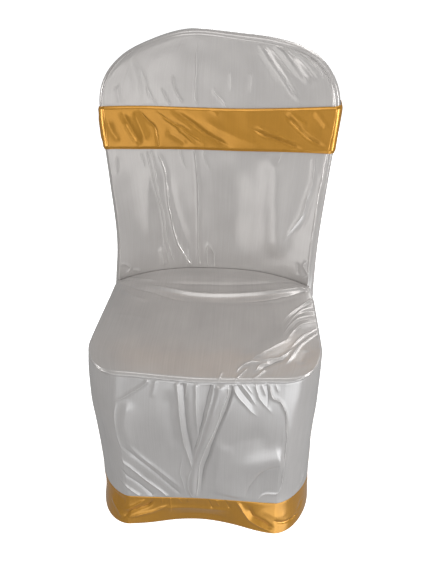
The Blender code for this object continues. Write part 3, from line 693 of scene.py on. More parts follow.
class ClothNodes:
    """The nodes of one material, whose patterns lie on the flat cloth, with its place on it in metres."""

    def __init__(self, material: bpy.types.Material) -> None:
        """Starts from the material's plain shader.

        Args:
            material: a new material.
        """
        self.nodes, self.links = material.node_tree.nodes, material.node_tree.links
        self.shader = self.nodes["Principled BSDF"]
        self.flat = self.nodes.new("ShaderNodeTexCoord").outputs["UV"]

    def run_threads(self, uv_map: str) -> None:
        """Lets the gloss stretch along the threads.

        Args:
            uv_map: name of the map that the threads run up.
        """
        tangent = self.nodes.new("ShaderNodeTangent")
        tangent.direction_type, tangent.uv_map = "UV_MAP", uv_map
        self.links.new(tangent.outputs["Tangent"], self.shader.inputs["Tangent"])

    def noise(self, across: float, up: float, detail: float) -> bpy.types.NodeSocket:
        """A soft random pattern.

        Args:
            across: how many of its spots lie in a metre across the cloth.
            up: how many lie in a metre up the cloth.
            detail: how many finer patterns are added to it.

        Returns:
            Its value, mostly between 0.3 and 0.7.
        """
        stretch, pattern = self.nodes.new("ShaderNodeMapping"), self.nodes.new("ShaderNodeTexNoise")
        stretch.inputs["Scale"].default_value = (across, up, 1.0)
        pattern.inputs["Scale"].default_value = 1.0
        pattern.inputs["Detail"].default_value = detail
        self.links.new(self.flat, stretch.inputs["Vector"])
        self.links.new(stretch.outputs["Vector"], pattern.inputs["Vector"])
        return pattern.outputs["Fac"]

    def ranged(self, value: bpy.types.NodeSocket, low: float, high: float) -> bpy.types.NodeSocket:
        """Moves a noise into another range.

        Args:
            value: the noise.
            low: what 0.3 becomes.
            high: what 0.7 becomes.

        Returns:
            The moved value.
        """
        change = self.nodes.new("ShaderNodeMapRange")
        ends = {"From Min": 0.3, "From Max": 0.7, "To Min": low, "To Max": high}
        for socket, end in ends.items():
            change.inputs[socket].default_value = end
        self.links.new(value, change.inputs["Value"])
        return change.outputs["Result"]

    def worked(self, operation: str, *values: bpy.types.NodeSocket | float) -> bpy.types.NodeSocket:
        """Puts values through one operation.

        Args:
            operation: its name.
            values: sockets or numbers.

        Returns:
            The result.
        """
        node = self.nodes.new("ShaderNodeMath")
        node.operation = operation
        for value, socket in zip(values, node.inputs):
            if isinstance(value, bpy.types.NodeSocket):
                self.links.new(value, socket)
            else:
                socket.default_value = value
        return node.outputs["Value"]

    def line(self, attribute: str, wander: bpy.types.NodeSocket, width: float) -> bpy.types.NodeSocket:
        """A crisp line along the creases of one set.

        Args:
            attribute: holds the distance from the crease in millimetres and its strength.
            wander: how far the line strays from the crease.
            width: half of the line's width, in millimetres.

        Returns:
            The line's height, up to its strength.
        """
        marks, parts = self.nodes.new("ShaderNodeAttribute"), self.nodes.new("ShaderNodeSeparateXYZ")
        marks.attribute_name = attribute
        self.links.new(marks.outputs["Vector"], parts.inputs["Vector"])
        away = self.worked("DIVIDE", self.worked("ADD", parts.outputs["X"], wander), width)
        height = self.worked("EXPONENT", self.worked("MULTIPLY", self.worked("MULTIPLY", away, away), -1.0))
        return self.worked("MULTIPLY", height, parts.outputs["Y"])

    def bump(
        self, height: bpy.types.NodeSocket, strength: float, depth: float, under: bpy.types.NodeSocket | None
    ) -> bpy.types.NodeSocket:
        """Adds a low relief.

        Args:
            height: its height, from 0 to 1.
            strength: how strongly it shows.
            depth: metres between 0 and 1.
            under: the normal of the surface that it lies on, if another relief comes before it.

        Returns:
            The normal with this relief.
        """
        bump = self.nodes.new("ShaderNodeBump")
        bump.inputs["Strength"].default_value = strength
        bump.inputs["Distance"].default_value = depth
        self.links.new(height, bump.inputs["Height"])
        if under:
            self.links.new(under, bump.inputs["Normal"])
        return bump.outputs["Normal"]


@dataclass(frozen=True)
class Satin:
    """A lustrous satin with fine threads, faint streaks along them, slight changes of tone and crisp creases.

    The widths of a thread and a streak are in metres, and their runs are width over length. Spots are counted
    in a metre, across and up. A crease's width and its wandering are in millimetres, as its marks are. The
    creases' lines are painted into the colour: a painted highlight where raised, painted shade where sunk.
    """

    name: str
    colour: tuple[float, float, float]
    metallic: float = 0.30
    anisotropy: float = 0.2
    sheen: float = 0.05
    sheen_roughness: float = 0.4
    coat: float = 0.12
    coat_roughness: float = 0.20
    roughness: float = 0.25
    roughness_change: float = 0.015
    roughness_spots: tuple[float, float] = (420.0, 12.0)
    tone: float = 0.05
    tone_spots: tuple[float, float] = (14.0, 9.0)
    streak_tone: float = 0.03
    streak_spots: float = 9.0
    thread: float = 0.0014
    thread_run: float = 0.03
    thread_relief: float = 0.06
    streak: float = 0.0026
    streak_run: float = 0.02
    streak_relief: float = 0.2
    depth: float = 0.0003
    crease: float = 0.0006
    crease_relief: float = 1.0
    crease_width: float = 0.9
    # how much crease lines are painted lighter where raised and darker where sunk: painted highlight and
    # painted shade
    painted_crease_light_shade: float = 0.40
    crease_range: tuple[float, float] = (0.6, 1.2)
    crease_spots: tuple[float, float] = (70.0, 30.0)
    wander: float = 0.8
    wander_spots: tuple[float, float] = (60.0, 25.0)

    def material(self) -> bpy.types.Material:
        """The satin's material, made once.

        Returns:
            A material that follows the flat cloth of any panel.
        """
        name = self.name + "_cloth"
        if name in bpy.data.materials:
            return bpy.data.materials[name]
        made = bpy.data.materials.new(name)
        made.use_nodes = True
        cloth = ClothNodes(made)
        gloss = {
            "Metallic": self.metallic,
            "Anisotropic": self.anisotropy,
            "Sheen Weight": self.sheen,
            "Sheen Roughness": self.sheen_roughness,
            "Coat Weight": self.coat,
            "Coat Roughness": self.coat_roughness,
        }
        for socket, value in gloss.items():
            cloth.shader.inputs[socket].default_value = value
        cloth.run_threads("flat")
        low, high = self.roughness - self.roughness_change, self.roughness + self.roughness_change
        rough = cloth.ranged(cloth.noise(*self.roughness_spots, 1.0), low, high)
        cloth.links.new(rough, cloth.shader.inputs["Roughness"])
        creases = self.creases(cloth)
        self.dye_and_paint_crease_light(cloth, creases)
        self.weave(cloth, creases)
        return made

    def creases(self, cloth: ClothNodes) -> bpy.types.NodeSocket:
        """The lines along all the creases, which wander a little and are stronger in some places.

        Args:
            cloth: the material's nodes.

        Returns:
            Their height: 0 between them, and below 0 in a sunk crease.
        """
        wander = cloth.ranged(cloth.noise(*self.wander_spots, 1.0), -self.wander, self.wander)
        lines = [cloth.line(attribute, wander, self.crease_width) for attribute in CREASE_SETS]
        total = lines[0]
        for line in lines[1:]:
            total = cloth.worked("ADD", total, line)
        strength = cloth.ranged(cloth.noise(*self.crease_spots, 2.0), *self.crease_range)
        return cloth.worked("MULTIPLY", total, strength)

    def dye_and_paint_crease_light(self, cloth: ClothNodes, creases: bpy.types.NodeSocket) -> None:
        """Colours the cloth, with soft changes of tone, streaks along the threads, and painted highlights on
        raised creases and painted shade in sunk ones.

        Args:
            cloth: the material's nodes.
            creases: their height.
        """
        tint = cloth.nodes.new("ShaderNodeHueSaturation")
        tint.inputs["Color"].default_value = (*self.colour, 1.0)
        tones = cloth.ranged(cloth.noise(*self.tone_spots, 3.0), 1 - self.tone, 1 + self.tone)
        streaks = cloth.noise(1 / self.streak, self.streak_spots, 2.0)
        streaks = cloth.ranged(streaks, 1 - self.streak_tone, 1 + self.streak_tone)
        # painted highlight along raised creases and painted shade along sunk ones, put into the base colour
        highlight_and_shade = cloth.worked("MULTIPLY_ADD", creases, self.painted_crease_light_shade, 1.0)
        value = cloth.worked("MULTIPLY", cloth.worked("MULTIPLY", tones, streaks), highlight_and_shade)
        cloth.links.new(value, tint.inputs["Value"])
        cloth.links.new(tint.outputs["Color"], cloth.shader.inputs["Base Color"])

    def weave(self, cloth: ClothNodes, creases: bpy.types.NodeSocket) -> None:
        """Gives the cloth the relief of its threads, its streaks and its creases.

        Args:
            cloth: the material's nodes.
            creases: their height.
        """
        threads = cloth.noise(1 / self.thread, self.thread_run / self.thread, 2.0)
        streaks = cloth.noise(1 / self.streak, self.streak_run / self.streak, 2.0)
        surface = cloth.bump(threads, self.thread_relief, self.depth, None)
        surface = cloth.bump(streaks, self.streak_relief, self.depth, surface)
        surface = cloth.bump(creases, self.crease_relief, self.crease, surface)
        for socket in ("Normal", "Coat Normal"):
            cloth.links.new(surface, cloth.shader.inputs[socket])


def grid_faces(ids: Grid) -> Grid:
    """Faces between a grid of point numbers, whose rows run up and whose columns run to the right."""
    corners = (ids[:-1, :-1], ids[:-1, 1:], ids[1:, 1:], ids[1:, :-1])
    return np.stack([corner.ravel() for corner in corners], -1)


def turned(count: int, length: float, radius: float, within: int) -> Grid:
    """Shares across a panel that rolls over at both ends.

    Args:
        count: shares between the two rolls.
        length: the panel's length.
        radius: how far in from its ends the rolls reach.
        within: shares on each roll.

    Returns:
        Shares from 0 to 1, closer together on the rolls.
    """
    roll = radius * (1 - np.cos(np.linspace(0, math.pi / 2, within + 1)[:-1])) / length
    middle = np.linspace(radius / length, 1 - radius / length, count)
    return np.concatenate([roll, middle, 1 - roll[::-1]])


@dataclass
class Panel:
    """A panel of the cover: a smooth sheet on the form, raised and sunk by folds, with the cloth's thickness.

    Its seams are dips, and beside some of them runs a welt, a low ridge with a crease along it, whose line is
    also painted lighter as a painted highlight. An outward panel has its thickness outside the form, and any
    other has it inside.
    """

    form: CoverForm
    finish: Satin
    name: str = ""
    cut: Cut = Cut(1.0, 1.0)
    held: Held = Held.STRETCHED
    rests_on: tuple[str, ...] = ()
    area_share: float = 1.0
    folds: tuple[Fold, ...] = ()
    wave: float = 0.00018
    wave_length: float = 0.055
    wave_spread: tuple[float, float] = (0.7, 2.0)
    wave_count: int = 9
    wave_seed: int = 1
    fade: float = 0.008
    seam_dip: float = 0.0005
    seam_width: float = 0.0012
    welt: float = 0.0
    welt_place: float = 0.0042
    welt_crisp: float = 0.0
    welt_reach: float = 0.0036
    welt_fade: float = 0.0012
    outward: bool = False

    def cloth(self) -> Cloth:
        """The panel before it is folded."""
        raise NotImplementedError

    def relief(self, cloth: Cloth) -> Grid:
        """How far out each point moves."""
        raise NotImplementedError

    def waves(self, flat: Grid) -> Grid:
        """Low soft waves over the whole panel, no two alike.

        Args:
            flat: places of points on the flat cloth.

        Returns:
            How far they raise each point.
        """
        chance = np.random.default_rng(self.wave_seed)
        total = np.zeros(len(flat))
        for _ in range(self.wave_count):
            heading, phase = chance.uniform(0, math.pi), chance.uniform(0, 2 * math.pi)
            length = self.wave_length * chance.uniform(*self.wave_spread)
            along_it = flat[:, 0] * math.cos(heading) + flat[:, 1] * math.sin(heading)
            total += np.sin(2 * math.pi * along_it / length + phase)
        return self.wave * total / math.sqrt(self.wave_count)

    def folded(self, flat: Grid) -> Grid:
        """Adds up the folds.

        Args:
            flat: places of points on the flat cloth.

        Returns:
            How far they raise each point.
        """
        total = np.zeros(len(flat))
        for fold in self.folds:
            total += fold.raised(flat, self.cut)
        return total

    def welt_distance(self) -> Grid | None:
        """Distance of each point from the seams that have a crisp welt."""
        return None

    def creases(self, cloth: Cloth) -> Grid:
        """The crisp creases, in sets whose lines don't meet.

        Args:
            cloth: the panel's points.

        Returns:
            Three columns for each set: the distance from its line in millimetres, its strength, and 0.
        """
        welts, *others = sets = [np.zeros((len(cloth.points), 3)) for _ in CREASE_SETS]
        distance = self.welt_distance()
        if distance is not None:
            away = distance - self.welt_place
            # the welt's crease line: a relief in the material, and a painted highlight along it
            strength = self.welt_crisp * ease((self.welt_reach - np.abs(away)) / self.welt_fade)
            welts[:, 0], welts[:, 1] = MILLIMETRES * away, strength
        for fold in self.folds:
            if fold.crisp:
                near, aside, strength = fold.crease(cloth.flat, self.cut)
                free = [made for made in others if not made[near, 1].any()]
                chosen = free[0] if free else others[-1]
                chosen[near, 0], chosen[near, 1] = MILLIMETRES * aside, strength
        return np.column_stack(sets)

    def seams(self, distance: Grid) -> Grid:
        """The dip in a seam, at each distance from the seam."""
        return -self.seam_dip * np.exp(-((distance / self.seam_width) ** 2))

    def welts(self, distance: Grid) -> Grid:
        """The welt beside a seam, at each distance from the seam."""
        return self.welt * np.exp(-(((distance - self.welt_place) / (0.5 * self.welt_place)) ** 2))

    def facing(self, cloth: Cloth) -> Grid:
        """Which way the smooth sheet faces.

        Args:
            cloth: the panel's points and faces.

        Returns:
            A direction for each point.
        """
        smooth = bpy.data.meshes.new(self.name + "_smooth")
        smooth.from_pydata(cloth.points.tolist(), [], cloth.faces.tolist())
        smooth.update()
        normals = np.empty(len(cloth.points) * 3, np.float32)
        smooth.vertex_normals.foreach_get("vector", normals)
        bpy.data.meshes.remove(smooth)
        return normals.reshape(-1, 3)

    def mesh(self) -> bpy.types.Mesh:
        """Folds the panel.

        Returns:
            Its mesh, with its place on the flat cloth as a UV map and its creases as attributes.
        """
        cloth = self.cloth()
        marks = np.column_stack([cloth.flat, self.creases(cloth)])
        points, faces, marks = self.layers(cloth, self.facing(cloth), self.relief(cloth), marks)
        mesh = bpy.data.meshes.new(self.name)
        mesh.from_pydata(points.tolist(), [], faces)
        mesh.update()
        mesh.uv_layers.new(name="flat").data.foreach_set("uv", self.flat_corners(mesh, marks[:, :2]))
        for number, name in enumerate(CREASE_SETS):
            values = marks[:, 2 + 3 * number : 5 + 3 * number].astype(np.float32).ravel()
            mesh.attributes.new(name, "FLOAT_VECTOR", "POINT").data.foreach_set("vector", values)
        mesh.materials.append(self.finish.material())
        mesh.shade_smooth()
        mesh.set_sharp_from_angle(angle=SHARP_ANGLE)
        mesh.update()
        return mesh

    def build(self) -> bpy.types.Object:
        """Makes the panel in place of its solid.

        Returns:
            The finished piece.
        """
        piece = bpy.data.objects.new(self.name + "_cloth", self.mesh())
        bpy.context.scene.collection.objects.link(piece)
        self.thicken(piece)
        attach(piece, "root")
        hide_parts(self.name)
        log.info("%s: %d faces", self.name, len(piece.data.polygons))
        return piece

    def layers(self, cloth: Cloth, normals: Grid, relief: Grid, marks: Grid) -> Layers:
        """The folded sheet: its points, its faces and the marks of each point."""
        return cloth.points + normals * relief[:, None], cloth.faces.tolist(), marks

    def flat_corners(self, mesh: bpy.types.Mesh, flat: Grid) -> Grid:
        """Finds the flat place of each corner of each face, also where a closed ring meets itself.

        Args:
            mesh: the panel's mesh.
            flat: places of its points.

        Returns:
            The corners' places, in one row.
        """
        corners, sizes = np.empty(len(mesh.loops), np.int32), np.empty(len(mesh.polygons), np.int32)
        mesh.loops.foreach_get("vertex_index", corners)
        mesh.polygons.foreach_get("loop_total", sizes)
        places, width = flat[corners], self.cut.width
        starts = np.cumsum(sizes) - sizes
        at_end = np.repeat(np.maximum.reduceat(places[:, 0], starts) > 0.75 * width, sizes)
        places[:, 0] += np.where(at_end & (places[:, 0] < 0.25 * width), width, 0.0)
        return places.astype(np.float32).ravel()

    def thicken(self, piece: bpy.types.Object) -> None:
        """Gives the finished sheet its thickness, where its layers don't have it already."""


@dataclass
class GridPanel(Panel):
    """A panel whose points form one grid, sewn on along the edges that are named."""

    sewn: tuple[str, ...] = ("left", "right", "foot", "head")
    welted: tuple[str, ...] = ()
    closed: bool = False
    coarser: int = 3
    grid: Grid = field(default_factory=lambda: np.zeros((0, 0, 3)))

    def surface(self) -> tuple[Grid, Grid, Grid]:
        """The grid of points, the shares of its columns and the shares of its rows."""
        raise NotImplementedError

    def cloth(self) -> Cloth:
        """Makes the grid.

        Returns:
            Its points and faces.
        """
        self.grid, s, t = self.surface()
        rows, columns = self.grid.shape[:2]
        ids = np.arange(rows * columns).reshape(rows, columns)
        if self.closed:
            ids = np.column_stack([ids, ids[:, 0]])
        across, up = np.meshgrid(s * self.cut.width, t * self.cut.length)
        return Cloth(self.grid.reshape(-1, 3), grid_faces(ids), np.stack([across.ravel(), up.ravel()], -1))

    def layers(self, cloth: Cloth, normals: Grid, relief: Grid, marks: Grid) -> Layers:
        """Folds the sheet and adds its inside, which has fewer points and stays clear of the troughs.

        Args:
            cloth: the smooth sheet.
            normals: which way it faces at each point.
            relief: how far out each point moves.
            marks: the flat place and the creases of each point.

        Returns:
            The points, the faces and the marks of both sides, and of the edges between them.
        """
        rows, columns = self.grid.shape[:2]
        if self.outward:
            outside, inside = relief + self.form.cloth, relief
        else:
            deepest = self.lowest(relief.reshape(rows, columns)).ravel()
            outside, inside = relief, np.minimum(deepest, 0.0) - self.form.cloth
        points = np.concatenate([cloth.points + normals * height[:, None] for height in (outside, inside)])
        ids = np.arange(rows * columns).reshape(rows, columns)
        picked_rows = sorted({*range(0, rows, self.coarser), rows - 1})
        picked_columns = sorted({*range(0, columns, self.coarser), columns - 1})
        if self.closed:
            ids = np.column_stack([ids, ids[:, 0]])
            picked_columns = [*range(0, columns, self.coarser), columns]
        inner = rows * columns + ids[np.ix_(picked_rows, picked_columns)]
        faces = grid_faces(ids).tolist() + grid_faces(inner)[:, ::-1].tolist()
        for at, turned_round in ((0, True), (-1, False)):
            faces += self.rim(ids[at], inner[at], picked_columns, turned_round)
        if not self.closed:
            for at, turned_round in ((0, False), (-1, True)):
                faces += self.rim(ids[:, at], inner[:, at], picked_rows, turned_round)
        used, numbers = np.unique(np.concatenate([np.ravel(face) for face in faces]), return_inverse=True)
        sizes = np.cumsum([len(face) for face in faces])[:-1]
        renumbered = [part.tolist() for part in np.split(numbers, sizes)]
        plain = np.column_stack([cloth.flat, np.zeros((len(marks), marks.shape[1] - 2))])
        return points[used], renumbered, np.concatenate([marks, plain])[used]

    @staticmethod
    def rim(outer: Grid, inner: Grid, picked: list[int], turned_round: bool) -> list[list[int]]:
        """Closes one edge of the cloth, between its outside and its inside.

        Args:
            outer: numbers of the points along the outside.
            inner: numbers of the points along the inside.
            picked: which points of the outside have one on the inside.
            turned_round: whether the faces run the other way.

        Returns:
            The faces.
        """
        faces = []
        for i, (start, end) in enumerate(zip(picked, picked[1:])):
            face = [*outer[start : end + 1].tolist(), int(inner[i + 1]), int(inner[i])]
            faces.append(face[::-1] if turned_round else face)
        return faces

    def lowest(self, relief: Grid) -> Grid:
        """Finds the lowest relief near each point, as far as one step of the inside.

        Args:
            relief: the relief of the grid.

        Returns:
            The lowest, for each point.
        """
        rows, columns = relief.shape
        for _ in range(self.coarser):
            around = np.pad(relief, 1, mode="edge")
            shifts = [around[i : i + rows, j : j + columns] for i in range(3) for j in range(3)]
            relief = np.min(shifts, axis=0)
        return relief

    def nearest(self, edges: tuple[str, ...]) -> Grid:
        """Measures along the cloth from each point to the nearest of some edges.

        Args:
            edges: names of the edges.

        Returns:
            The distance of each point.
        """
        across = np.linalg.norm(np.diff(self.grid, axis=1), axis=2).cumsum(axis=1)
        across = np.column_stack([np.zeros(len(across)), across])
        up = np.linalg.norm(np.diff(self.grid, axis=0), axis=2).cumsum(axis=0)
        up = np.vstack([np.zeros(up.shape[1]), up])
        distances = {"left": across, "right": across[:, -1:] - across, "foot": up, "head": up[-1:] - up}
        return np.min([distances[edge].ravel() for edge in edges], axis=0)

    def welt_distance(self) -> Grid | None:
        """Distance of each point from the seams that have a crisp welt."""
        return self.nearest(self.welted) if self.welted else None

    def sewn_down(self) -> Grid:
        """The dips in the seams and the welts beside them."""
        seams = self.seams(self.nearest(self.sewn))
        return seams + self.welts(self.nearest(self.welted)) if self.welted else seams

    def strayed(self, cloth: Cloth) -> Grid | float:
        """How far out each point strays from the form before it is folded."""
        return 0.0

    def free(self, cloth: Cloth) -> Grid | float:
        """How free each point is to rise, from 0 to 1."""
        return 1.0

    def relief(self, cloth: Cloth) -> Grid:
        """Folds and waves that sink into the seams, and the seams themselves.

        Args:
            cloth: the smooth sheet.

        Returns:
            How far out each point moves.
        """
        raised = self.folded(cloth.flat) + self.waves(cloth.flat) + self.strayed(cloth)
        raised = raised * ease(self.nearest(self.sewn) / self.fade) * self.free(cloth)
        return raised + self.sewn_down()


@dataclass
class RestFront(GridPanel):
    """The front of the backrest, with slanting folds at the upper right and long creases below the band."""

    name: str = "rest_front"
    cut: Cut = Cut(0.45, 0.50)
    rests_on: tuple[str, ...] = ("back_panel_cloth", "seat_cloth")
    area_share: float = 0.91
    columns: int = 289
    rows: int = 298
    crowding: float = 0.45
    welt: float = 0.0009
    welt_crisp: float = 0.9
    welted: tuple[str, ...] = ("left", "right")
    band_clear: float = 0.006
    folds: tuple[Fold, ...] = (
        # above the band: the crease in the middle, a light stripe at its left, puckers under the band
        Fold(((0.386, 0.97), (0.4, 0.89), (0.41, 0.81), (0.408, 0.71), (0.422, 0.675)), 0.0026, 0.0006,
             crisp=0.8, start=0.6, end=0.03),
        Fold(((0.03, 0.985), (0.139, 0.83), (0.168, 0.75), (0.178, 0.69)), 0.012, 0.0012),
        Fold(((0.155, 0.86), (0.177, 0.82), (0.201, 0.77), (0.219, 0.69)), 0.0026, 0.0005, crisp=0.4,
             start=0.5),
        Fold(((0.202, 0.76), (0.244, 0.685)), 0.0024, 0.0004, crisp=0.6, end=0.05),
        Fold(((0.262, 0.75), (0.303, 0.68)), 0.0026, 0.0005, crisp=0.7, end=0.05),
        Fold(((0.31, 0.8), (0.322, 0.74), (0.354, 0.685)), 0.0026, 0.0006, crisp=0.7, end=0.05),
        Fold(((0.487, 0.755), (0.49, 0.73), (0.514, 0.71), (0.54, 0.675)), 0.0028, 0.0007, crisp=0.8,
             end=0.05),
        Fold(((0.07, 0.8), (0.09, 0.7)), 0.0056, 0.0006),
        Fold(((0.553, 0.83), (0.554, 0.78), (0.555, 0.74)), 0.004, 0.0003, crisp=0.2),
        Fold(((0.645, 0.83), (0.637, 0.74)), 0.005, 0.0004, crisp=0.2),
        Fold(((0.225, 0.985), (0.3, 0.985), (0.392, 0.99)), 0.004, 0.0006),
        # the slanting folds at the upper right, with hollows between them
        Fold(((0.69, 0.985), (0.718, 0.95), (0.739, 0.89), (0.773, 0.83), (0.811, 0.77), (0.863, 0.71)),
             0.0072, 0.0025, crisp=0.25, widen=0.7, start=0.15),
        Fold(((0.775, 0.995), (0.82, 0.97), (0.837, 0.91), (0.863, 0.85), (0.897, 0.79)), 0.008, 0.0029,
             crisp=0.2, start=0.15),
        Fold(((0.833, 0.998), (0.872, 0.983)), 0.003, 0.0007, crisp=0.6),
        Fold(((0.88, 0.99), (0.925, 0.955), (0.955, 0.89)), 0.0048, 0.0012, crisp=0.4),
        Fold(((0.955, 0.985), (0.971, 0.95), (0.967, 0.91), (0.959, 0.85)), 0.003, 0.0007, crisp=0.6),
        Fold(((0.748, 0.985), (0.788, 0.895), (0.838, 0.815)), 0.0064, -0.0013, widen=0.7),
        Fold(((0.845, 0.97), (0.888, 0.91), (0.928, 0.83)), 0.006, -0.0013),
        Fold(((0.66, 0.95), (0.7, 0.86), (0.75, 0.76)), 0.009, -0.0008),
        # below the band at the left: a bundle of fine creases, and a long bent fold
        Fold(((0.181, 0.52), (0.192, 0.44), (0.202, 0.36), (0.215, 0.3), (0.228, 0.21), (0.237, 0.13),
              (0.249, 0.08), (0.274, 0.01)), 0.0024, 0.0005, crisp=0.7, start=0.03, end=0.1),
        Fold(((0.2, 0.52), (0.213, 0.46), (0.217, 0.38), (0.226, 0.31), (0.24, 0.24), (0.247, 0.16),
              (0.27, 0.08), (0.306, 0.01)), 0.0024, 0.0005, crisp=0.7, start=0.03, end=0.1),
        Fold(((0.227, 0.51), (0.251, 0.46), (0.262, 0.41), (0.262, 0.36), (0.264, 0.29), (0.271, 0.25),
              (0.279, 0.2), (0.299, 0.13), (0.322, 0.09), (0.356, 0.05), (0.39, 0.005)), 0.0034, 0.0014,
             crisp=1.3, start=0.08, end=0.05, lean=0.2),
        Fold(((0.154, 0.52), (0.165, 0.45)), 0.003, 0.0004, crisp=0.4),
        Fold(((0.277, 0.45), (0.29, 0.3), (0.33, 0.17), (0.385, 0.07)), 0.007, -0.0011),
        Fold(((0.196, 0.48), (0.167, 0.31), (0.164, 0.12)), 0.022, 0.0022),
        Fold(((0.217, 0.11), (0.242, 0.02)), 0.005, 0.0012, crisp=0.4, end=0.05),
        Fold(((0.363, 0.09), (0.369, 0.005)), 0.0026, 0.0006, crisp=0.6, end=0.05),
        Fold(((0.044, 0.53), (0.03, 0.45)), 0.0034, 0.0006, crisp=0.3),
        # the middle: short puckers under the band, and the crease down to the foot
        Fold(((0.337, 0.51), (0.344, 0.46), (0.361, 0.42)), 0.0024, 0.0005, crisp=0.7, start=0.03, end=0.5),
        Fold(((0.437, 0.51), (0.455, 0.46), (0.473, 0.42)), 0.0024, 0.0005, crisp=0.6, start=0.03, end=0.5),
        Fold(((0.4, 0.51), (0.408, 0.45), (0.413, 0.34), (0.412, 0.21), (0.414, 0.12), (0.43, 0.005)), 0.003,
             0.001, crisp=0.8, start=0.03, end=0.03),
        Fold(((0.466, 0.12), (0.459, 0.07), (0.474, 0.005)), 0.0028, 0.0008, crisp=0.7, end=0.05),
        Fold(((0.467, 0.11), (0.501, 0.06), (0.505, 0.005)), 0.0026, 0.0007, crisp=0.7, end=0.05),
        Fold(((0.484, 0.08), (0.488, 0.0)), 0.003, -0.0008, end=0.05),
        # the right: a broad swell, a bent fold, and crumpled corners
        Fold(((0.772, 0.52), (0.79, 0.31), (0.815, 0.06)), 0.026, 0.0046, start=0.15, end=0.2, power=2.0),
        Fold(((0.585, 0.47), (0.6, 0.25), (0.6, 0.06)), 0.028, -0.002, power=2.0),
        Fold(((0.796, 0.53), (0.781, 0.48)), 0.0026, 0.0004, crisp=0.5, start=0.05),
        Fold(((0.938, 0.54), (0.949, 0.44), (0.934, 0.36), (0.926, 0.29), (0.887, 0.22), (0.862, 0.18),
              (0.85, 0.14)), 0.004, 0.0015, crisp=0.6, start=0.05, lean=-0.3),
        Fold(((0.96, 0.5), (0.967, 0.43), (0.953, 0.34), (0.942, 0.27), (0.905, 0.19)), 0.005, -0.0011),
        Fold(((0.985, 0.12), (0.965, 0.08), (0.986, 0.05), (0.96, 0.02)), 0.0036, 0.0012, crisp=0.5),
        Fold(((0.93, 0.09), (0.94, 0.03)), 0.0044, -0.0009),
        Fold(((0.005, 0.065), (0.026, 0.07), (0.066, 0.04), (0.037, 0.018)), 0.0032, 0.001, crisp=0.5),
        Fold(((0.075, 0.03), (0.125, 0.012)), 0.003, 0.0007, crisp=0.4),
    )

    def surface(self) -> tuple[Grid, Grid, Grid]:
        """The form between the foot seam and the seam round the sides and the top.

        Returns:
            The grid of points, the shares of its columns and the shares of its rows.
        """
        form = self.form
        left, top, right = form.outline(form.junction)

        def seam(line: Grid, share: Grid) -> Grid:
            """(x, z) on the seam along one line of the outline, at shares of its length."""
            at = walk(line, share)
            return drawn_in(at, form.seam_inset(at[:, 0], at[:, 1]))

        gap = 0.5 * form.seam_gap
        s = np.linspace(gap / self.cut.width, 1 - gap / self.cut.width, self.columns)
        t = np.linspace(gap / self.cut.length, 1 - gap / self.cut.length, self.rows)
        t = t + self.crowding * np.sin(math.pi * t) / math.pi
        xz = coons(form.foot_seam, partial(seam, top), partial(seam, left), partial(seam, right), s, t)
        x, z = xz[..., 0], xz[..., 1]
        return np.stack([x, form.front_surface(x, z), z], -1), s, t

    def free(self, cloth: Cloth) -> Grid | float:
        """How free of the band each point is.

        Args:
            cloth: the smooth sheet.

        Returns:
            0 under the band and 1 clear of it, for each point.
        """
        x, z = cloth.points[:, 0], cloth.points[:, 2]
        bottom, top = self.form.band_edges(self.form.front_aside(x, z))
        return ease(np.maximum(bottom - z, z - top) / self.band_clear)


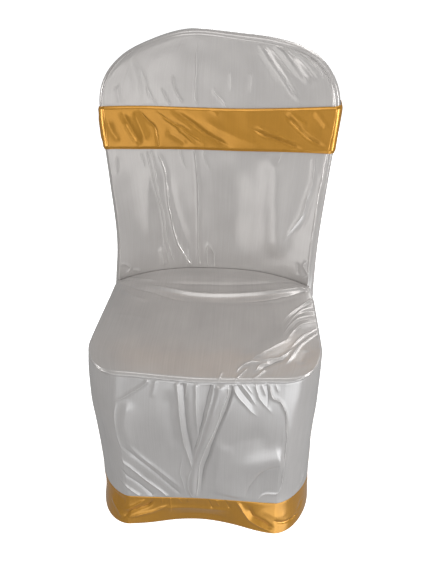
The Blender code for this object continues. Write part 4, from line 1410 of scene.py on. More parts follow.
@dataclass
class Seat(GridPanel):
    """The seat, with a roll of cloth in front of the backrest and ruched waves at its right side."""

    name: str = "seat"
    cut: Cut = Cut(0.42, 0.36)
    rests_on: tuple[str, ...] = ("rest_front_cloth", "skirt_cloth")
    columns: int = 282
    rows: int = 246
    within: int = 12
    roll_fade: float = 8.0
    fade: float = 0.007
    welted: tuple[str, ...] = ("left", "right", "foot")
    welt_place: float = 0.0026
    welt_crisp: float = 0.8
    folds: tuple[Fold, ...] = (
        # the roll of cloth in front of the backrest, and the hollows on both sides of it
        Fold(((0.14, 0.83), (0.25, 0.76), (0.389, 0.712), (0.544, 0.702), (0.736, 0.737), (0.9, 0.83),
              (0.975, 0.93)), 0.007, 0.0052, start=0.15, end=0.1),
        Fold(((0.8, 0.79), (0.9, 0.865), (0.985, 0.975)), 0.003, 0.0008, crisp=0.6),
        Fold(((0.192, 0.83), (0.392, 0.81), (0.64, 0.82), (0.8, 0.875), (0.934, 0.98)), 0.0056, -0.0016,
             end=0.1),
        Fold(((0.985, 0.87), (0.881, 0.76), (0.783, 0.685), (0.679, 0.648), (0.56, 0.64)), 0.0032, -0.0009,
             crisp=-0.6, start=0.05, end=0.5),
        Fold(((0.36, 0.645), (0.6, 0.632), (0.8, 0.66), (0.94, 0.78)), 0.0085, -0.001, end=0.1),
        Fold(((0.029, 0.985), (0.136, 0.895), (0.231, 0.84)), 0.004, 0.0014, crisp=0.3, start=0.1),
        Fold(((0.036, 0.88), (0.117, 0.79), (0.203, 0.73), (0.307, 0.66), (0.424, 0.625)), 0.0038, -0.0012,
             crisp=-0.3),
        Fold(((0.059, 0.79), (0.121, 0.7), (0.217, 0.62)), 0.0056, 0.0011),
        Fold(((0.059, 0.49), (0.146, 0.48), (0.242, 0.44)), 0.0052, 0.0004),
        Fold(((0.035, 0.86), (0.04, 0.6), (0.034, 0.33)), 0.0056, 0.0008),
        # short waves that run in from the right side
        Fold(((0.995, 0.77), (0.924, 0.65), (0.872, 0.56), (0.823, 0.43)), 0.0026, 0.001, crisp=0.9,
             start=0.05, end=0.5),
        Fold(((0.995, 0.65), (0.931, 0.61), (0.878, 0.5), (0.829, 0.35)), 0.0026, 0.0009, crisp=0.9,
             start=0.05, end=0.5),
        Fold(((0.995, 0.55), (0.916, 0.52), (0.867, 0.43), (0.818, 0.29)), 0.0028, 0.0011, crisp=1.0,
             start=0.05, end=0.5),
        Fold(((0.995, 0.46), (0.931, 0.45), (0.881, 0.37), (0.833, 0.24)), 0.0026, 0.001, crisp=0.9,
             start=0.05, end=0.5),
        Fold(((0.995, 0.385), (0.96, 0.36), (0.922, 0.33), (0.884, 0.27), (0.85, 0.2)), 0.0026, 0.001,
             crisp=0.9, start=0.05, end=0.5),
        Fold(((0.995, 0.71), (0.93, 0.63), (0.875, 0.53), (0.826, 0.39)), 0.0028, -0.0006, crisp=-0.4,
             start=0.05, end=0.5),
        Fold(((0.995, 0.6), (0.92, 0.565), (0.872, 0.465), (0.824, 0.32)), 0.0028, -0.0006, crisp=-0.4,
             start=0.05, end=0.5),
        Fold(((0.995, 0.5), (0.92, 0.485), (0.874, 0.4), (0.826, 0.265)), 0.0028, -0.0006, crisp=-0.4,
             start=0.05, end=0.5),
        # the wrinkled slope down to the right front corner
        Fold(((0.965, 0.5), (0.837, 0.3), (0.741, 0.17), (0.65, 0.07)), 0.024, 0.0046, start=0.3, power=2.0),
        Fold(((0.99, 0.325), (0.955, 0.305), (0.899, 0.24), (0.862, 0.16), (0.835, 0.1)), 0.0032, 0.0014,
             crisp=1.0, start=0.05, lean=-0.2),
        Fold(((0.93, 0.2), (0.89, 0.1)), 0.011, -0.0012),
        Fold(((0.865, 0.3), (0.76, 0.19), (0.675, 0.11)), 0.003, 0.0006, crisp=0.4),
        Fold(((0.88, 0.225), (0.82, 0.155), (0.735, 0.125)), 0.003, 0.0007, crisp=0.5),
        Fold(((0.638, 0.05), (0.664, 0.1), (0.702, 0.12), (0.744, 0.115)), 0.0028, 0.0008, crisp=0.7),
        Fold(((0.718, 0.055), (0.737, 0.1), (0.776, 0.11)), 0.0026, 0.0006, crisp=0.5),
        Fold(((0.735, 0.065), (0.782, 0.11), (0.84, 0.145)), 0.0034, -0.001, crisp=-0.7),
        Fold(((0.577, 0.0), (0.587, 0.07)), 0.0026, 0.0005, crisp=0.4, start=0.05),
        Fold(((0.645, 0.0), (0.69, 0.09)), 0.0028, 0.0006, crisp=0.5, start=0.05),
        Fold(((0.718, 0.0), (0.765, 0.08)), 0.0028, 0.0006, crisp=0.4, start=0.05),
    )

    def surface(self) -> tuple[Grid, Grid, Grid]:
        """The form inside the seat's seam: its edge rolls down, except along the foot of the backrest.

        Returns:
            The grid of points, the shares of its columns and the shares of its rows.
        """
        form = self.form
        reach = 0.5 * (form.skirt_side + 0.5 * form.skirt_corner)

        def backrest(share: Grid) -> Grid:
            """The seam at the foot of the backrest."""
            x, z = form.foot_seam(share).T
            return np.stack([x, form.front_surface(x, z), z], -1)

        s = turned(self.columns, self.cut.width, form.seat_roll, self.within)
        t = turned(self.rows, self.cut.length, form.seat_roll, self.within)
        t = np.unique(np.minimum(t, 1 - form.seam_gap / self.cut.length))
        points = coons(
            lambda share: form.rim(reach + (1 - 2 * reach) * share),
            backrest,
            lambda share: form.rim(reach * (1 - share)),
            lambda share: form.rim(1 - reach * (1 - share)),
            s,
            t,
        )
        edge = np.minimum(np.minimum(s, 1 - s)[None] * self.cut.width, t[:, None] * self.cut.length)
        inside = (4 * s * (1 - s))[None] * (4 * t * (1 - t))[:, None]
        rolled = quarter(edge, form.seat_roll) * ease((1 - t) * self.roll_fade)[:, None]
        points[..., 2] += np.maximum(rolled, form.seam_gap) - form.seat_dish * inside
        return points, s, t


@dataclass
class Skirt(GridPanel):
    """The strip round the sides and the front, with three pleats that meet at the middle of its hem."""

    name: str = "skirt"
    cut: Cut = Cut(1.05, 0.32)
    held: Held = Held.GATHERED
    rests_on: tuple[str, ...] = ("seat_cloth", "back_panel_cloth", "hem_border_cloth")
    side_columns: int = 61
    front_columns: int = 380
    front_from: float = 0.32
    front_to: float = 0.69
    rows: int = 169
    fade: float = 0.007
    folds: tuple[Fold, ...] = (
        # three pleats that meet at the middle of the hem, with dark wedges between them
        Fold(((0.461, 1.0), (0.465, 0.87), (0.469, 0.68), (0.474, 0.51), (0.482, 0.35), (0.486, 0.27)), 0.004,
             0.0021, crisp=0.6, start=0.03, end=0.1, lean=0.25),
        Fold(((0.484, 0.3), (0.475, 0.18), (0.476, 0.08), (0.483, 0.0)), 0.0034, 0.0012, crisp=0.5, end=0.05),
        Fold(((0.471, 1.0), (0.476, 0.79), (0.482, 0.55), (0.487, 0.35)), 0.0056, -0.0028, crisp=-0.2,
             start=0.03, widen=0.5),
        Fold(((0.478, 0.99), (0.476, 0.87)), 0.0024, 0.0006, crisp=0.5, start=0.05),
        Fold(((0.493, 1.0), (0.495, 0.8), (0.498, 0.64), (0.494, 0.46)), 0.0042, 0.0016, crisp=0.5,
             start=0.03, end=0.4),
        Fold(((0.518, 1.0), (0.512, 0.87), (0.503, 0.68), (0.493, 0.5), (0.486, 0.37)), 0.0034, -0.0012,
             crisp=-0.7, start=0.03),
        Fold(((0.533, 1.0), (0.533, 0.92), (0.525, 0.79), (0.515, 0.62), (0.501, 0.45), (0.49, 0.29),
              (0.484, 0.14), (0.484, 0.0)), 0.0088, 0.0034, start=0.03, end=0.08, widen=0.55, power=2.2),
        Fold(((0.524, 1.0), (0.518, 0.85), (0.509, 0.69), (0.498, 0.51), (0.486, 0.35)), 0.0024, 0.0005,
             crisp=0.6, start=0.03),
        Fold(((0.546, 1.0), (0.547, 0.92), (0.538, 0.82), (0.526, 0.64), (0.512, 0.5), (0.5, 0.35),
              (0.495, 0.18), (0.489, 0.0)), 0.0026, 0.0009, crisp=1.2, start=0.05, end=0.05),
        Fold(((0.556, 1.0), (0.552, 0.92), (0.542, 0.78), (0.5265, 0.59), (0.516, 0.43), (0.504, 0.26),
              (0.497, 0.02)), 0.0044, -0.0024, crisp=-0.6, start=0.03, lean=-0.2),
        Fold(((0.471, 0.42), (0.463, 0.26), (0.467, 0.12), (0.473, 0.01)), 0.003, 0.0008, crisp=0.4),
        Fold(((0.471, 0.24), (0.474, 0.0)), 0.003, -0.0009, end=0.05),
        Fold(((0.539, 0.58), (0.533, 0.36), (0.52, 0.05)), 0.01, 0.0014),
        Fold(((0.448, 0.95), (0.452, 0.7), (0.462, 0.45)), 0.013, -0.0018),
        # gathers that fan out from the seat's seam
        Fold(((0.553, 1.0), (0.564, 0.91), (0.578, 0.84), (0.588, 0.79), (0.6, 0.75)), 0.0032, 0.0013,
             crisp=0.8, start=0.03, end=0.45),
        Fold(((0.56, 1.0), (0.575, 0.91), (0.592, 0.82)), 0.0032, -0.0009, crisp=-0.3, start=0.03, end=0.45),
        Fold(((0.568, 1.0), (0.584, 0.91), (0.595, 0.83)), 0.0026, 0.0007, crisp=0.6, start=0.03, end=0.45),
        Fold(((0.575, 1.0), (0.588, 0.92)), 0.0024, 0.0006, crisp=0.5, start=0.03, end=0.45),
        Fold(((0.592, 1.0), (0.597, 0.91), (0.604, 0.87), (0.614, 0.82), (0.622, 0.77)), 0.003, 0.0012,
             crisp=0.7, start=0.03, end=0.45),
        Fold(((0.602, 1.0), (0.61, 0.9)), 0.0026, 0.0008, crisp=0.6, start=0.03, end=0.5),
        Fold(((0.61, 1.0), (0.613, 0.9), (0.612, 0.8)), 0.0034, -0.001, crisp=-0.5, start=0.03, end=0.4),
        Fold(((0.625, 1.0), (0.631, 0.93)), 0.0026, 0.0007, crisp=0.5, start=0.03, end=0.5),
        Fold(((0.412, 1.0), (0.406, 0.96), (0.384, 0.89), (0.366, 0.84), (0.35, 0.82)), 0.0034, 0.001,
             crisp=0.5, start=0.05),
        Fold(((0.425, 1.0), (0.42, 0.86)), 0.004, 0.0006, start=0.05),
        # the corners
        Fold(((0.616, 1.0), (0.617, 0.94), (0.622, 0.895), (0.634, 0.87), (0.641, 0.82), (0.647, 0.75),
              (0.653, 0.57), (0.656, 0.39), (0.656, 0.22), (0.653, 0.12)), 0.003, 0.0014, crisp=1.6,
             start=0.05, end=0.1),
        Fold(((0.361, 0.83), (0.355, 0.72), (0.355, 0.57), (0.36, 0.46), (0.372, 0.38)), 0.0036, 0.001,
             crisp=0.4),
        Fold(((0.381, 0.85), (0.374, 0.65), (0.379, 0.45)), 0.011, 0.002),
        # slanting folds above the hem
        Fold(((0.356, 0.5), (0.376, 0.4), (0.408, 0.265), (0.431, 0.16), (0.462, 0.02)), 0.0052, -0.0017,
             crisp=-0.3, end=0.1),
        Fold(((0.37, 0.53), (0.387, 0.41), (0.416, 0.29), (0.443, 0.18), (0.473, 0.05)), 0.005, 0.0014,
             crisp=0.3),
        Fold(((0.35, 0.385), (0.357, 0.33), (0.371, 0.275), (0.394, 0.17), (0.418, 0.08), (0.437, 0.0)),
             0.0042, 0.0018, crisp=0.6, end=0.05),
        Fold(((0.34, 0.27), (0.36, 0.19), (0.383, 0.11), (0.407, 0.01)), 0.0044, -0.0014, crisp=-0.5,
             end=0.05),
        Fold(((0.333, 0.15), (0.358, 0.08), (0.382, 0.0)), 0.0036, 0.0013, crisp=0.6, end=0.05),
        Fold(((0.554, 0.02), (0.565, 0.16), (0.583, 0.3), (0.612, 0.37), (0.655, 0.42)), 0.03, 0.005,
             start=0.1, end=0.1, power=2.0),
        Fold(((0.657, 0.37), (0.618, 0.32), (0.591, 0.16), (0.581, 0.03)), 0.0046, -0.0012, crisp=-0.3),
        Fold(((0.6, 0.0), (0.618, 0.08), (0.645, 0.09), (0.655, 0.17)), 0.0034, 0.0012, crisp=0.6),
        Fold(((0.714, 0.15), (0.709, 0.08), (0.69, 0.01)), 0.004, 0.0012, crisp=0.5, end=0.1),
        Fold(((0.535, 0.48), (0.575, 0.56), (0.62, 0.6)), 0.022, -0.0018),
        # the sides
        Fold(((0.11, 0.98), (0.118, 0.6), (0.125, 0.15)), 0.015, 0.0024),
        Fold(((0.16, 0.96), (0.158, 0.5), (0.165, 0.05)), 0.016, -0.002),
        Fold(((0.215, 0.96), (0.208, 0.5), (0.2, 0.06)), 0.018, 0.0028),
        Fold(((0.265, 0.9), (0.262, 0.5), (0.25, 0.15)), 0.014, -0.0018),
        Fold(((0.3, 0.97), (0.304, 0.7), (0.296, 0.3)), 0.0088, 0.0012),
        Fold(((0.05, 0.8), (0.062, 0.45), (0.055, 0.12)), 0.013, 0.0017),
        Fold(((0.8, 0.97), (0.796, 0.6), (0.79, 0.12)), 0.017, 0.0025),
        Fold(((0.752, 0.94), (0.748, 0.55), (0.74, 0.2)), 0.014, -0.0018),
        Fold(((0.715, 0.96), (0.712, 0.7), (0.718, 0.35)), 0.008, 0.0009),
        Fold(((0.85, 0.92), (0.856, 0.5), (0.85, 0.08)), 0.016, -0.0018),
        Fold(((0.905, 0.94), (0.908, 0.55), (0.915, 0.06)), 0.015, 0.0026),
        Fold(((0.955, 0.8), (0.948, 0.45), (0.958, 0.12)), 0.012, 0.0016),
    )

    def surface(self) -> tuple[Grid, Grid, Grid]:
        """The form from the border's seam up to the seat's, round from the left rear seam to the right one.

        Returns:
            The grid of points, the shares of its columns and the shares of its rows.
        """
        form = self.form
        gap, rise = (0.5 * form.seam_gap / length for length in (self.cut.width, self.cut.length))
        left = np.linspace(gap, self.front_from, self.side_columns)[:-1]
        front = np.linspace(self.front_from, self.front_to, self.front_columns)
        right = np.linspace(self.front_to, 1 - gap, self.side_columns)[1:]
        s, t = np.concatenate([left, front, right]), np.linspace(rise, 1 - rise, self.rows)
        z = form.hem_seam + (along(form.rims, "height", s)[None] - form.hem_seam) * t[:, None]
        x, y = form.skirt_ring(np.broadcast_to(s, z.shape), z)
        return np.stack([x, y, z], -1), s, t


@dataclass
class HemBorder(GridPanel):
    """The gold border, a closed ring, its lower edge uneven and its front corners bent by slanting folds."""

    name: str = "hem_border"
    cut: Cut = Cut(1.60, 0.08)
    rests_on: tuple[str, ...] = ("skirt_cloth", "back_panel_cloth")
    closed: bool = True
    sewn: tuple[str, ...] = ("head",)
    front_columns: int = 540
    other_columns: int = 390
    front_from: float = 0.15
    front_to: float = 0.47
    rows: int = 76
    fade: float = 0.007
    folds: tuple[Fold, ...] = (
        # the left front corner, with a dark pocket above its tip
        Fold(((0.253, 0.98), (0.246, 0.7), (0.233, 0.55), (0.219, 0.38), (0.212, 0.14)), 0.0046, -0.003,
             crisp=-0.6),
        Fold(((0.211, 0.46), (0.228, 0.64), (0.243, 0.92)), 0.003, 0.0012, crisp=0.4),
        Fold(((0.219, 0.22), (0.235, 0.33), (0.253, 0.46), (0.27, 0.7)), 0.0038, 0.0016, crisp=0.6),
        Fold(((0.194, 0.7), (0.198, 0.52), (0.206, 0.34), (0.21, 0.12)), 0.005, 0.0019, crisp=0.3),
        Fold(((0.196, 0.9), (0.216, 0.76)), 0.01, -0.0019),
        # the middle: a thin upright crease, and small puckers under the seam
        Fold(((0.272, 1.0), (0.2725, 0.62), (0.272, 0.3)), 0.0024, 0.0006, crisp=0.6, start=0.05),
        Fold(((0.262, 1.0), (0.2625, 0.74)), 0.0024, 0.0005, crisp=0.4, start=0.05),
        Fold(((0.282, 1.0), (0.286, 0.76)), 0.0024, 0.0005, crisp=0.4, start=0.05),
        Fold(((0.292, 1.0), (0.2935, 0.8)), 0.0024, 0.0005, crisp=-0.4, start=0.05),
        Fold(((0.317, 1.0), (0.323, 0.57)), 0.0032, -0.0007, crisp=-0.5, start=0.05),
        Fold(((0.337, 1.0), (0.344, 0.64)), 0.0032, -0.0007, crisp=-0.5, start=0.05),
        Fold(((0.327, 1.0), (0.331, 0.7)), 0.0028, 0.0006, crisp=0.4, start=0.05),
        Fold(((0.255, 0.56), (0.285, 0.58), (0.318, 0.57), (0.35, 0.58)), 0.008, 0.0019),
        Fold(((0.27, 0.24), (0.31, 0.27), (0.345, 0.22)), 0.011, -0.0016),
        # the right front corner
        Fold(((0.351, 0.98), (0.356, 0.8), (0.361, 0.58), (0.369, 0.32), (0.382, 0.18), (0.398, 0.04)),
             0.0036, 0.0022, crisp=0.7, start=0.1),
        Fold(((0.364, 0.9), (0.371, 0.48), (0.385, 0.31), (0.4, 0.1)), 0.005, -0.0032, crisp=-0.3),
        Fold(((0.38, 0.76), (0.398, 0.58), (0.418, 0.52)), 0.0095, 0.0008),
        Fold(((0.396, 0.44), (0.412, 0.29), (0.434, 0.25)), 0.0034, -0.0022, crisp=-0.9),
        Fold(((0.44, 0.6), (0.431, 0.32)), 0.006, -0.0014),
        # the sides and the back
        Fold(((0.05, 0.95), (0.056, 0.05)), 0.016, 0.002),
        Fold(((0.085, 0.95), (0.092, 0.05)), 0.015, -0.0018),
        Fold(((0.13, 0.95), (0.126, 0.05)), 0.017, 0.002),
        Fold(((0.165, 0.95), (0.172, 0.05)), 0.014, -0.0018),
        Fold(((0.485, 0.95), (0.48, 0.05)), 0.015, 0.0019),
        Fold(((0.54, 0.95), (0.534, 0.05)), 0.018, 0.0022),
        Fold(((0.58, 0.95), (0.586, 0.05)), 0.015, -0.0017),
        Fold(((0.7, 0.95), (0.705, 0.05)), 0.018, 0.0019),
        Fold(((0.76, 0.95), (0.755, 0.05)), 0.017, -0.0018),
        Fold(((0.815, 0.95), (0.822, 0.05)), 0.019, 0.0022),
        Fold(((0.885, 0.95), (0.88, 0.05)), 0.017, -0.0017),
    )

    def surface(self) -> tuple[Grid, Grid, Grid]:
        """The form below the hem seam, round from the left rear seam over the front.

        Returns:
            The grid of points, the shares of its columns and the shares of its rows.
        """
        form = self.form
        before = round(self.other_columns * self.front_from / (1 - self.front_to + self.front_from))
        s = np.concatenate([
            np.linspace(0, self.front_from, before, endpoint=False),
            np.linspace(self.front_from, self.front_to, self.front_columns, endpoint=False),
            np.linspace(self.front_to, 1, self.other_columns - before, endpoint=False),
        ])
        t = np.linspace(0, 1, self.rows)
        z = np.broadcast_to((form.hem_seam - 0.5 * form.seam_gap) * t[:, None], (self.rows, len(s)))
        around = np.broadcast_to(s, z.shape)
        share = form.front_of_ring
        front = form.skirt_ring(np.clip(around / share, 0, 1), z)
        back = form.back_ring(np.clip((around - share) / (1 - share), 0, 1), z)
        x, y = (np.where(around < share, *pair) for pair in zip(front, back))
        return np.stack([x, y, z + along(form.hems, "lift", s) * (1 - t)[:, None]], -1), s, t

    def strayed(self, cloth: Cloth) -> Grid | float:
        """How far out the uneven hem strays, at each point."""
        s, t = cloth.flat[:, 0] / self.cut.width, cloth.flat[:, 1] / self.cut.length
        return along(self.form.hems, "out", s) * (1 - t)


@dataclass
class Sash(GridPanel):
    """The gold band, a closed ring worn round the backrest, with slanting folds."""

    name: str = "sash"
    cut: Cut = Cut(1.10, 0.085)
    rests_on: tuple[str, ...] = ("rest_front_cloth", "back_panel_cloth")
    closed: bool = True
    sewn: tuple[str, ...] = ()
    outward: bool = True
    finer: int = 16
    rows: int = 76
    wave: float = 0.0003
    clearance: float = 0.0009
    loft: float = 0.0030
    loft_width: float = 0.006
    loft_change: float = 3.0
    loft_behind: float = 0.9
    bead: float = 0.0001
    bead_width: float = 0.0020
    folds: tuple[Fold, ...] = (
        # on the front: the cover's seams press through at its sides
        Fold(((0.2815, 0.97), (0.28, 0.44), (0.277, 0.03)), 0.0026, 0.0004, crisp=0.2, start=0.05, end=0.05),
        Fold(((0.722, 0.97), (0.72, 0.5), (0.718, 0.03)), 0.0026, 0.0004, crisp=0.2, start=0.05, end=0.05),
        # on the front: its left part
        Fold(((0.313, 0.9), (0.323, 0.67), (0.336, 0.34), (0.35, 0.06)), 0.0054, -0.0022),
        Fold(((0.317, 0.62), (0.328, 0.34), (0.342, 0.06)), 0.004, 0.0012),
        Fold(((0.285, 0.72), (0.293, 0.39), (0.306, 0.14)), 0.008, -0.0012),
        Fold(((0.339, 0.9), (0.349, 0.53), (0.359, 0.15)), 0.0085, 0.0018),
        Fold(((0.346, 0.96), (0.362, 0.71), (0.377, 0.53), (0.38, 0.35), (0.381, 0.03)), 0.0028, -0.001,
             crisp=-0.8, end=0.1),
        Fold(((0.379, 0.95), (0.396, 0.78), (0.424, 0.6), (0.452, 0.42)), 0.0028, -0.0008, crisp=-0.6),
        Fold(((0.382, 0.9), (0.398, 0.72), (0.433, 0.46), (0.462, 0.25), (0.476, 0.06)), 0.0036, 0.0016,
             crisp=0.6),
        Fold(((0.418, 0.52), (0.443, 0.28), (0.455, 0.1)), 0.003, 0.001, crisp=0.5),
        Fold(((0.396, 0.44), (0.415, 0.31), (0.442, 0.11)), 0.0065, -0.0014),
        # on the front: its middle and its right part
        Fold(((0.405, 0.98), (0.432, 0.78), (0.454, 0.6), (0.477, 0.38), (0.505, 0.2), (0.534, 0.03)), 0.0058,
             -0.003, crisp=-0.2),
        Fold(((0.462, 0.74), (0.512, 0.46), (0.564, 0.22), (0.62, 0.09)), 0.01, 0.002),
        Fold(((0.553, 0.64), (0.586, 0.41), (0.61, 0.31), (0.642, 0.18), (0.672, 0.03)), 0.004, -0.0022,
             crisp=-0.5),
        Fold(((0.57, 0.64), (0.59, 0.5), (0.629, 0.33), (0.665, 0.2)), 0.0045, 0.0013, crisp=0.2),
        Fold(((0.616, 0.94), (0.637, 0.72), (0.658, 0.5), (0.683, 0.28), (0.717, 0.12)), 0.0046, -0.0022,
             crisp=-0.4),
        Fold(((0.63, 0.96), (0.648, 0.76), (0.674, 0.56)), 0.0052, 0.0014, crisp=0.2),
        Fold(((0.669, 0.88), (0.702, 0.52)), 0.005, -0.001),
        Fold(((0.678, 0.95), (0.694, 0.76), (0.712, 0.5)), 0.005, 0.001),
        Fold(((0.48, 0.98), (0.5, 0.84)), 0.003, 0.0006, crisp=0.3),
        # round the edges and on the back
        Fold(((0.235, 0.85), (0.24, 0.15)), 0.015, 0.0019),
        Fold(((0.11, 0.92), (0.15, 0.45), (0.19, 0.08)), 0.0072, 0.0012),
        Fold(((0.13, 0.95), (0.172, 0.48), (0.205, 0.12)), 0.0056, -0.001),
        Fold(((0.02, 0.2), (0.06, 0.5), (0.1, 0.85)), 0.0064, 0.0011),
        Fold(((0.89, 0.92), (0.86, 0.45), (0.815, 0.08)), 0.0072, 0.0012),
        Fold(((0.87, 0.95), (0.84, 0.48), (0.8, 0.14)), 0.0056, -0.001),
        Fold(((0.975, 0.15), (0.945, 0.5), (0.905, 0.88)), 0.0068, 0.0011),
    )

    def surface(self) -> tuple[Grid, Grid, Grid]:
        """The form under the band, round from the middle of the back over the left edge and the front.

        Returns:
            The grid of points, the shares of its columns and the shares of its rows.
        """
        form = self.form
        columns = 2 * self.finer * sum(form.band_steps)
        s, t = np.linspace(0, 1, columns + 1)[:-1], np.linspace(0, 1, self.rows)
        on_left = s < 0.5
        place = np.where(on_left, 1 - 2 * s, 2 * s - 1)
        steps = np.cumsum([0, *form.band_steps])
        starts, ends = steps[:-1] / steps[-1], steps[1:] / steps[-1]
        shares = (np.clip((place - start) / (end - start), 0, 1) for start, end in zip(starts, ends))
        front, edge, side, corner, back = shares
        toward = np.where(on_left, -1.0, 1.0)
        aside = toward * np.minimum(place / starts[3], (1 - place) / (1 - starts[3]))
        bottom, top = form.band_edges(aside)
        z = bottom + (top - bottom) * t[:, None]
        width = np.where(on_left, -form.width("left", z), form.width("right", z))
        radius, turn = form.rear("corner", z), form.front_edge
        inset_front = turn * (1 - np.sin(edge * math.pi / 2))
        inset_back = radius * (1 - np.cos(corner * math.pi / 2))
        half = np.where(place < starts[2], (width - turn) * front + turn - inset_front, width - inset_back)
        half = np.where(place > starts[4], (width - radius) * (1 - back), half)
        x = toward * half
        face, rear = form.rear("face", z) + turn, form.rear("back", z) - radius
        y = np.where(place > starts[3], form.back_surface(x, z), face + (rear - face) * side)
        y = np.where(place < starts[2], form.front_surface(x, z), y)
        return np.stack([x, y, z], -1), s, t

    def relief(self, cloth: Cloth) -> Grid:
        """Folds, which stand on a slack band and never reach the cover, and the rounded edges of the band.

        Args:
            cloth: the smooth sheet.

        Returns:
            How far out each point moves.
        """
        across, up = cloth.flat.T
        edge = np.minimum(up, self.cut.length - up)
        bead = self.bead * np.exp(-((edge / self.bead_width) ** 2))
        from_back = 1 - np.abs(2 * across / self.cut.width - 1)
        front = ease(self.loft_change * from_back - self.loft_behind)
        slack = self.loft * front * ease(edge / self.loft_width)
        raised = slack + self.folded(cloth.flat) + self.waves(cloth.flat) * ease(edge / self.fade)
        return self.clearance + bead + np.maximum(raised, 0.0)


@dataclass
class BackPanel(Panel):
    """The back of the whole cover, with the strip that turns round the sides and the top of the backrest."""

    name: str = "back_panel"
    cut: Cut = Cut(0.52, 0.86)
    rests_on: tuple[str, ...] = ("rest_front_cloth", "skirt_cloth", "hem_border_cloth")
    area_share: float = 0.93
    columns: int = 126
    low_rows: int = 90
    high_rows: int = 130
    turns: int = 22
    fade: float = 0.008
    wave: float = 0.00012
    wave_seed: int = 5
    strip_width: float = 0.06
    welt: float = 0.0008
    band_clear: float = 0.008
    folds: tuple[Fold, ...] = (
        # above the band
        Fold(((0.3, 0.97), (0.33, 0.9), (0.31, 0.83)), 0.0088, 0.0009),
        Fold(((0.52, 0.98), (0.5, 0.9), (0.51, 0.82)), 0.0072, 0.0009),
        Fold(((0.74, 0.97), (0.7, 0.9), (0.66, 0.83)), 0.0088, 0.0011),
        Fold(((0.62, 0.96), (0.6, 0.9), (0.58, 0.84)), 0.008, -0.0008),
        # below the band: folds that hang down from it
        Fold(((0.12, 0.7), (0.15, 0.52), (0.17, 0.3), (0.16, 0.12)), 0.021, 0.002),
        Fold(((0.24, 0.71), (0.26, 0.55), (0.3, 0.38), (0.31, 0.22)), 0.017, -0.0014),
        Fold(((0.36, 0.71), (0.36, 0.56), (0.33, 0.36), (0.34, 0.06)), 0.023, 0.0021),
        Fold(((0.52, 0.71), (0.5, 0.58), (0.47, 0.44), (0.48, 0.3)), 0.016, -0.0012),
        Fold(((0.6, 0.7), (0.62, 0.52), (0.6, 0.28), (0.62, 0.05)), 0.023, 0.0019),
        Fold(((0.72, 0.71), (0.7, 0.56), (0.74, 0.4), (0.73, 0.26)), 0.017, -0.0013),
        Fold(((0.87, 0.69), (0.84, 0.48), (0.86, 0.24), (0.85, 0.06)), 0.021, 0.0018),
        Fold(((0.48, 0.73), (0.49, 0.66)), 0.004, 0.0009, crisp=0.4),
        Fold(((0.58, 0.73), (0.57, 0.67)), 0.004, 0.0008, crisp=0.4),
        Fold(((0.28, 0.72), (0.29, 0.66)), 0.004, 0.0008, crisp=0.4),
    )

    def lines(self) -> tuple[Grid, Grid, Grid]:
        """The outline of the back at the points of its grid.

        Returns:
            Rows of its left side, its top and its right side, as the form's outline has them.
        """
        form = self.form
        left_below, _, right_below = form.outline(form.hem_seam)
        left, top, right = form.outline(form.junction)
        heights = np.linspace(form.hem_seam + 0.5 * form.seam_gap, form.junction, self.low_rows + 1)[:-1]
        above = np.linspace(0, 1, self.high_rows)

        def side(below: Grid, line: Grid) -> Grid:
            """One side, evenly spaced below the seat and above it."""
            rows = [np.interp(heights, below[:, 1], column) for column in below.T]
            return np.concatenate([np.stack(rows, -1), walk(line, above)])

        return side(left_below, left), walk(top, np.linspace(0, 1, self.columns)), side(right_below, right)

    def turned_way(self, row: Grid) -> Grid:
        """The cloth's way round the edge of the backrest, from the seam in front to where the back begins.

        Args:
            row: one row of the outline.

        Returns:
            Points along the way.
        """
        form, steps = self.form, 2 * self.turns
        x, z = row[:2]
        inset, corner = float(form.seam_inset(x, z)), float(form.rear("corner", z))
        depth, turn = inset * np.linspace(1, 0, steps), np.linspace(0, math.pi / 2, steps)
        middle = float(form.rear("back", z)) - corner
        front_place = drawn_in(np.tile(row, (steps, 1)), depth)
        front = np.stack([depth, form.edge_surface(front_place[:, 0], front_place[:, 1])], -1)
        back = np.stack([corner * (1 - np.cos(turn)), middle + corner * np.sin(turn)], -1)
        line = np.concatenate([front, back])
        length = float(np.linalg.norm(np.diff(line, axis=0), axis=1).sum())
        way = walk(line, np.linspace(0.5 * form.seam_gap / length, 1, self.turns))
        place = drawn_in(np.tile(row, (self.turns, 1)), way[:, 0])
        swell = form.rear("swell", place[:, 1]) * form.fullness(place[:, 0], place[:, 1])
        return np.stack([place[:, 0], way[:, 1] + swell * ease(way[:, 0] / corner), place[:, 1]], -1)

    def cloth(self) -> Cloth:
        """The flat part and the strip round it, which share their edge.

        Returns:
            Their points and faces.
        """
        form = self.form
        left, top, right = self.lines()
        s = np.linspace(0, 1, self.columns)
        t = (left[:, 1] - left[0, 1]) / (left[-1, 1] - left[0, 1])

        def edge(line: Grid, own: Grid) -> EdgeLine:
            """The line where the back begins, by the shares of its points."""
            inner = drawn_in(line, form.rear("corner", line[:, 1]))
            return lambda share: np.stack([np.interp(share, own, column) for column in inner.T], -1)

        left_edge, right_edge = edge(left, t), edge(right, t)
        start, end = left_edge(np.array(0.0)), right_edge(np.array(0.0))

        def foot(share: Grid) -> Grid:
            """The line between the lower ends of the two sides."""
            return start + (end - start) * share[:, None]

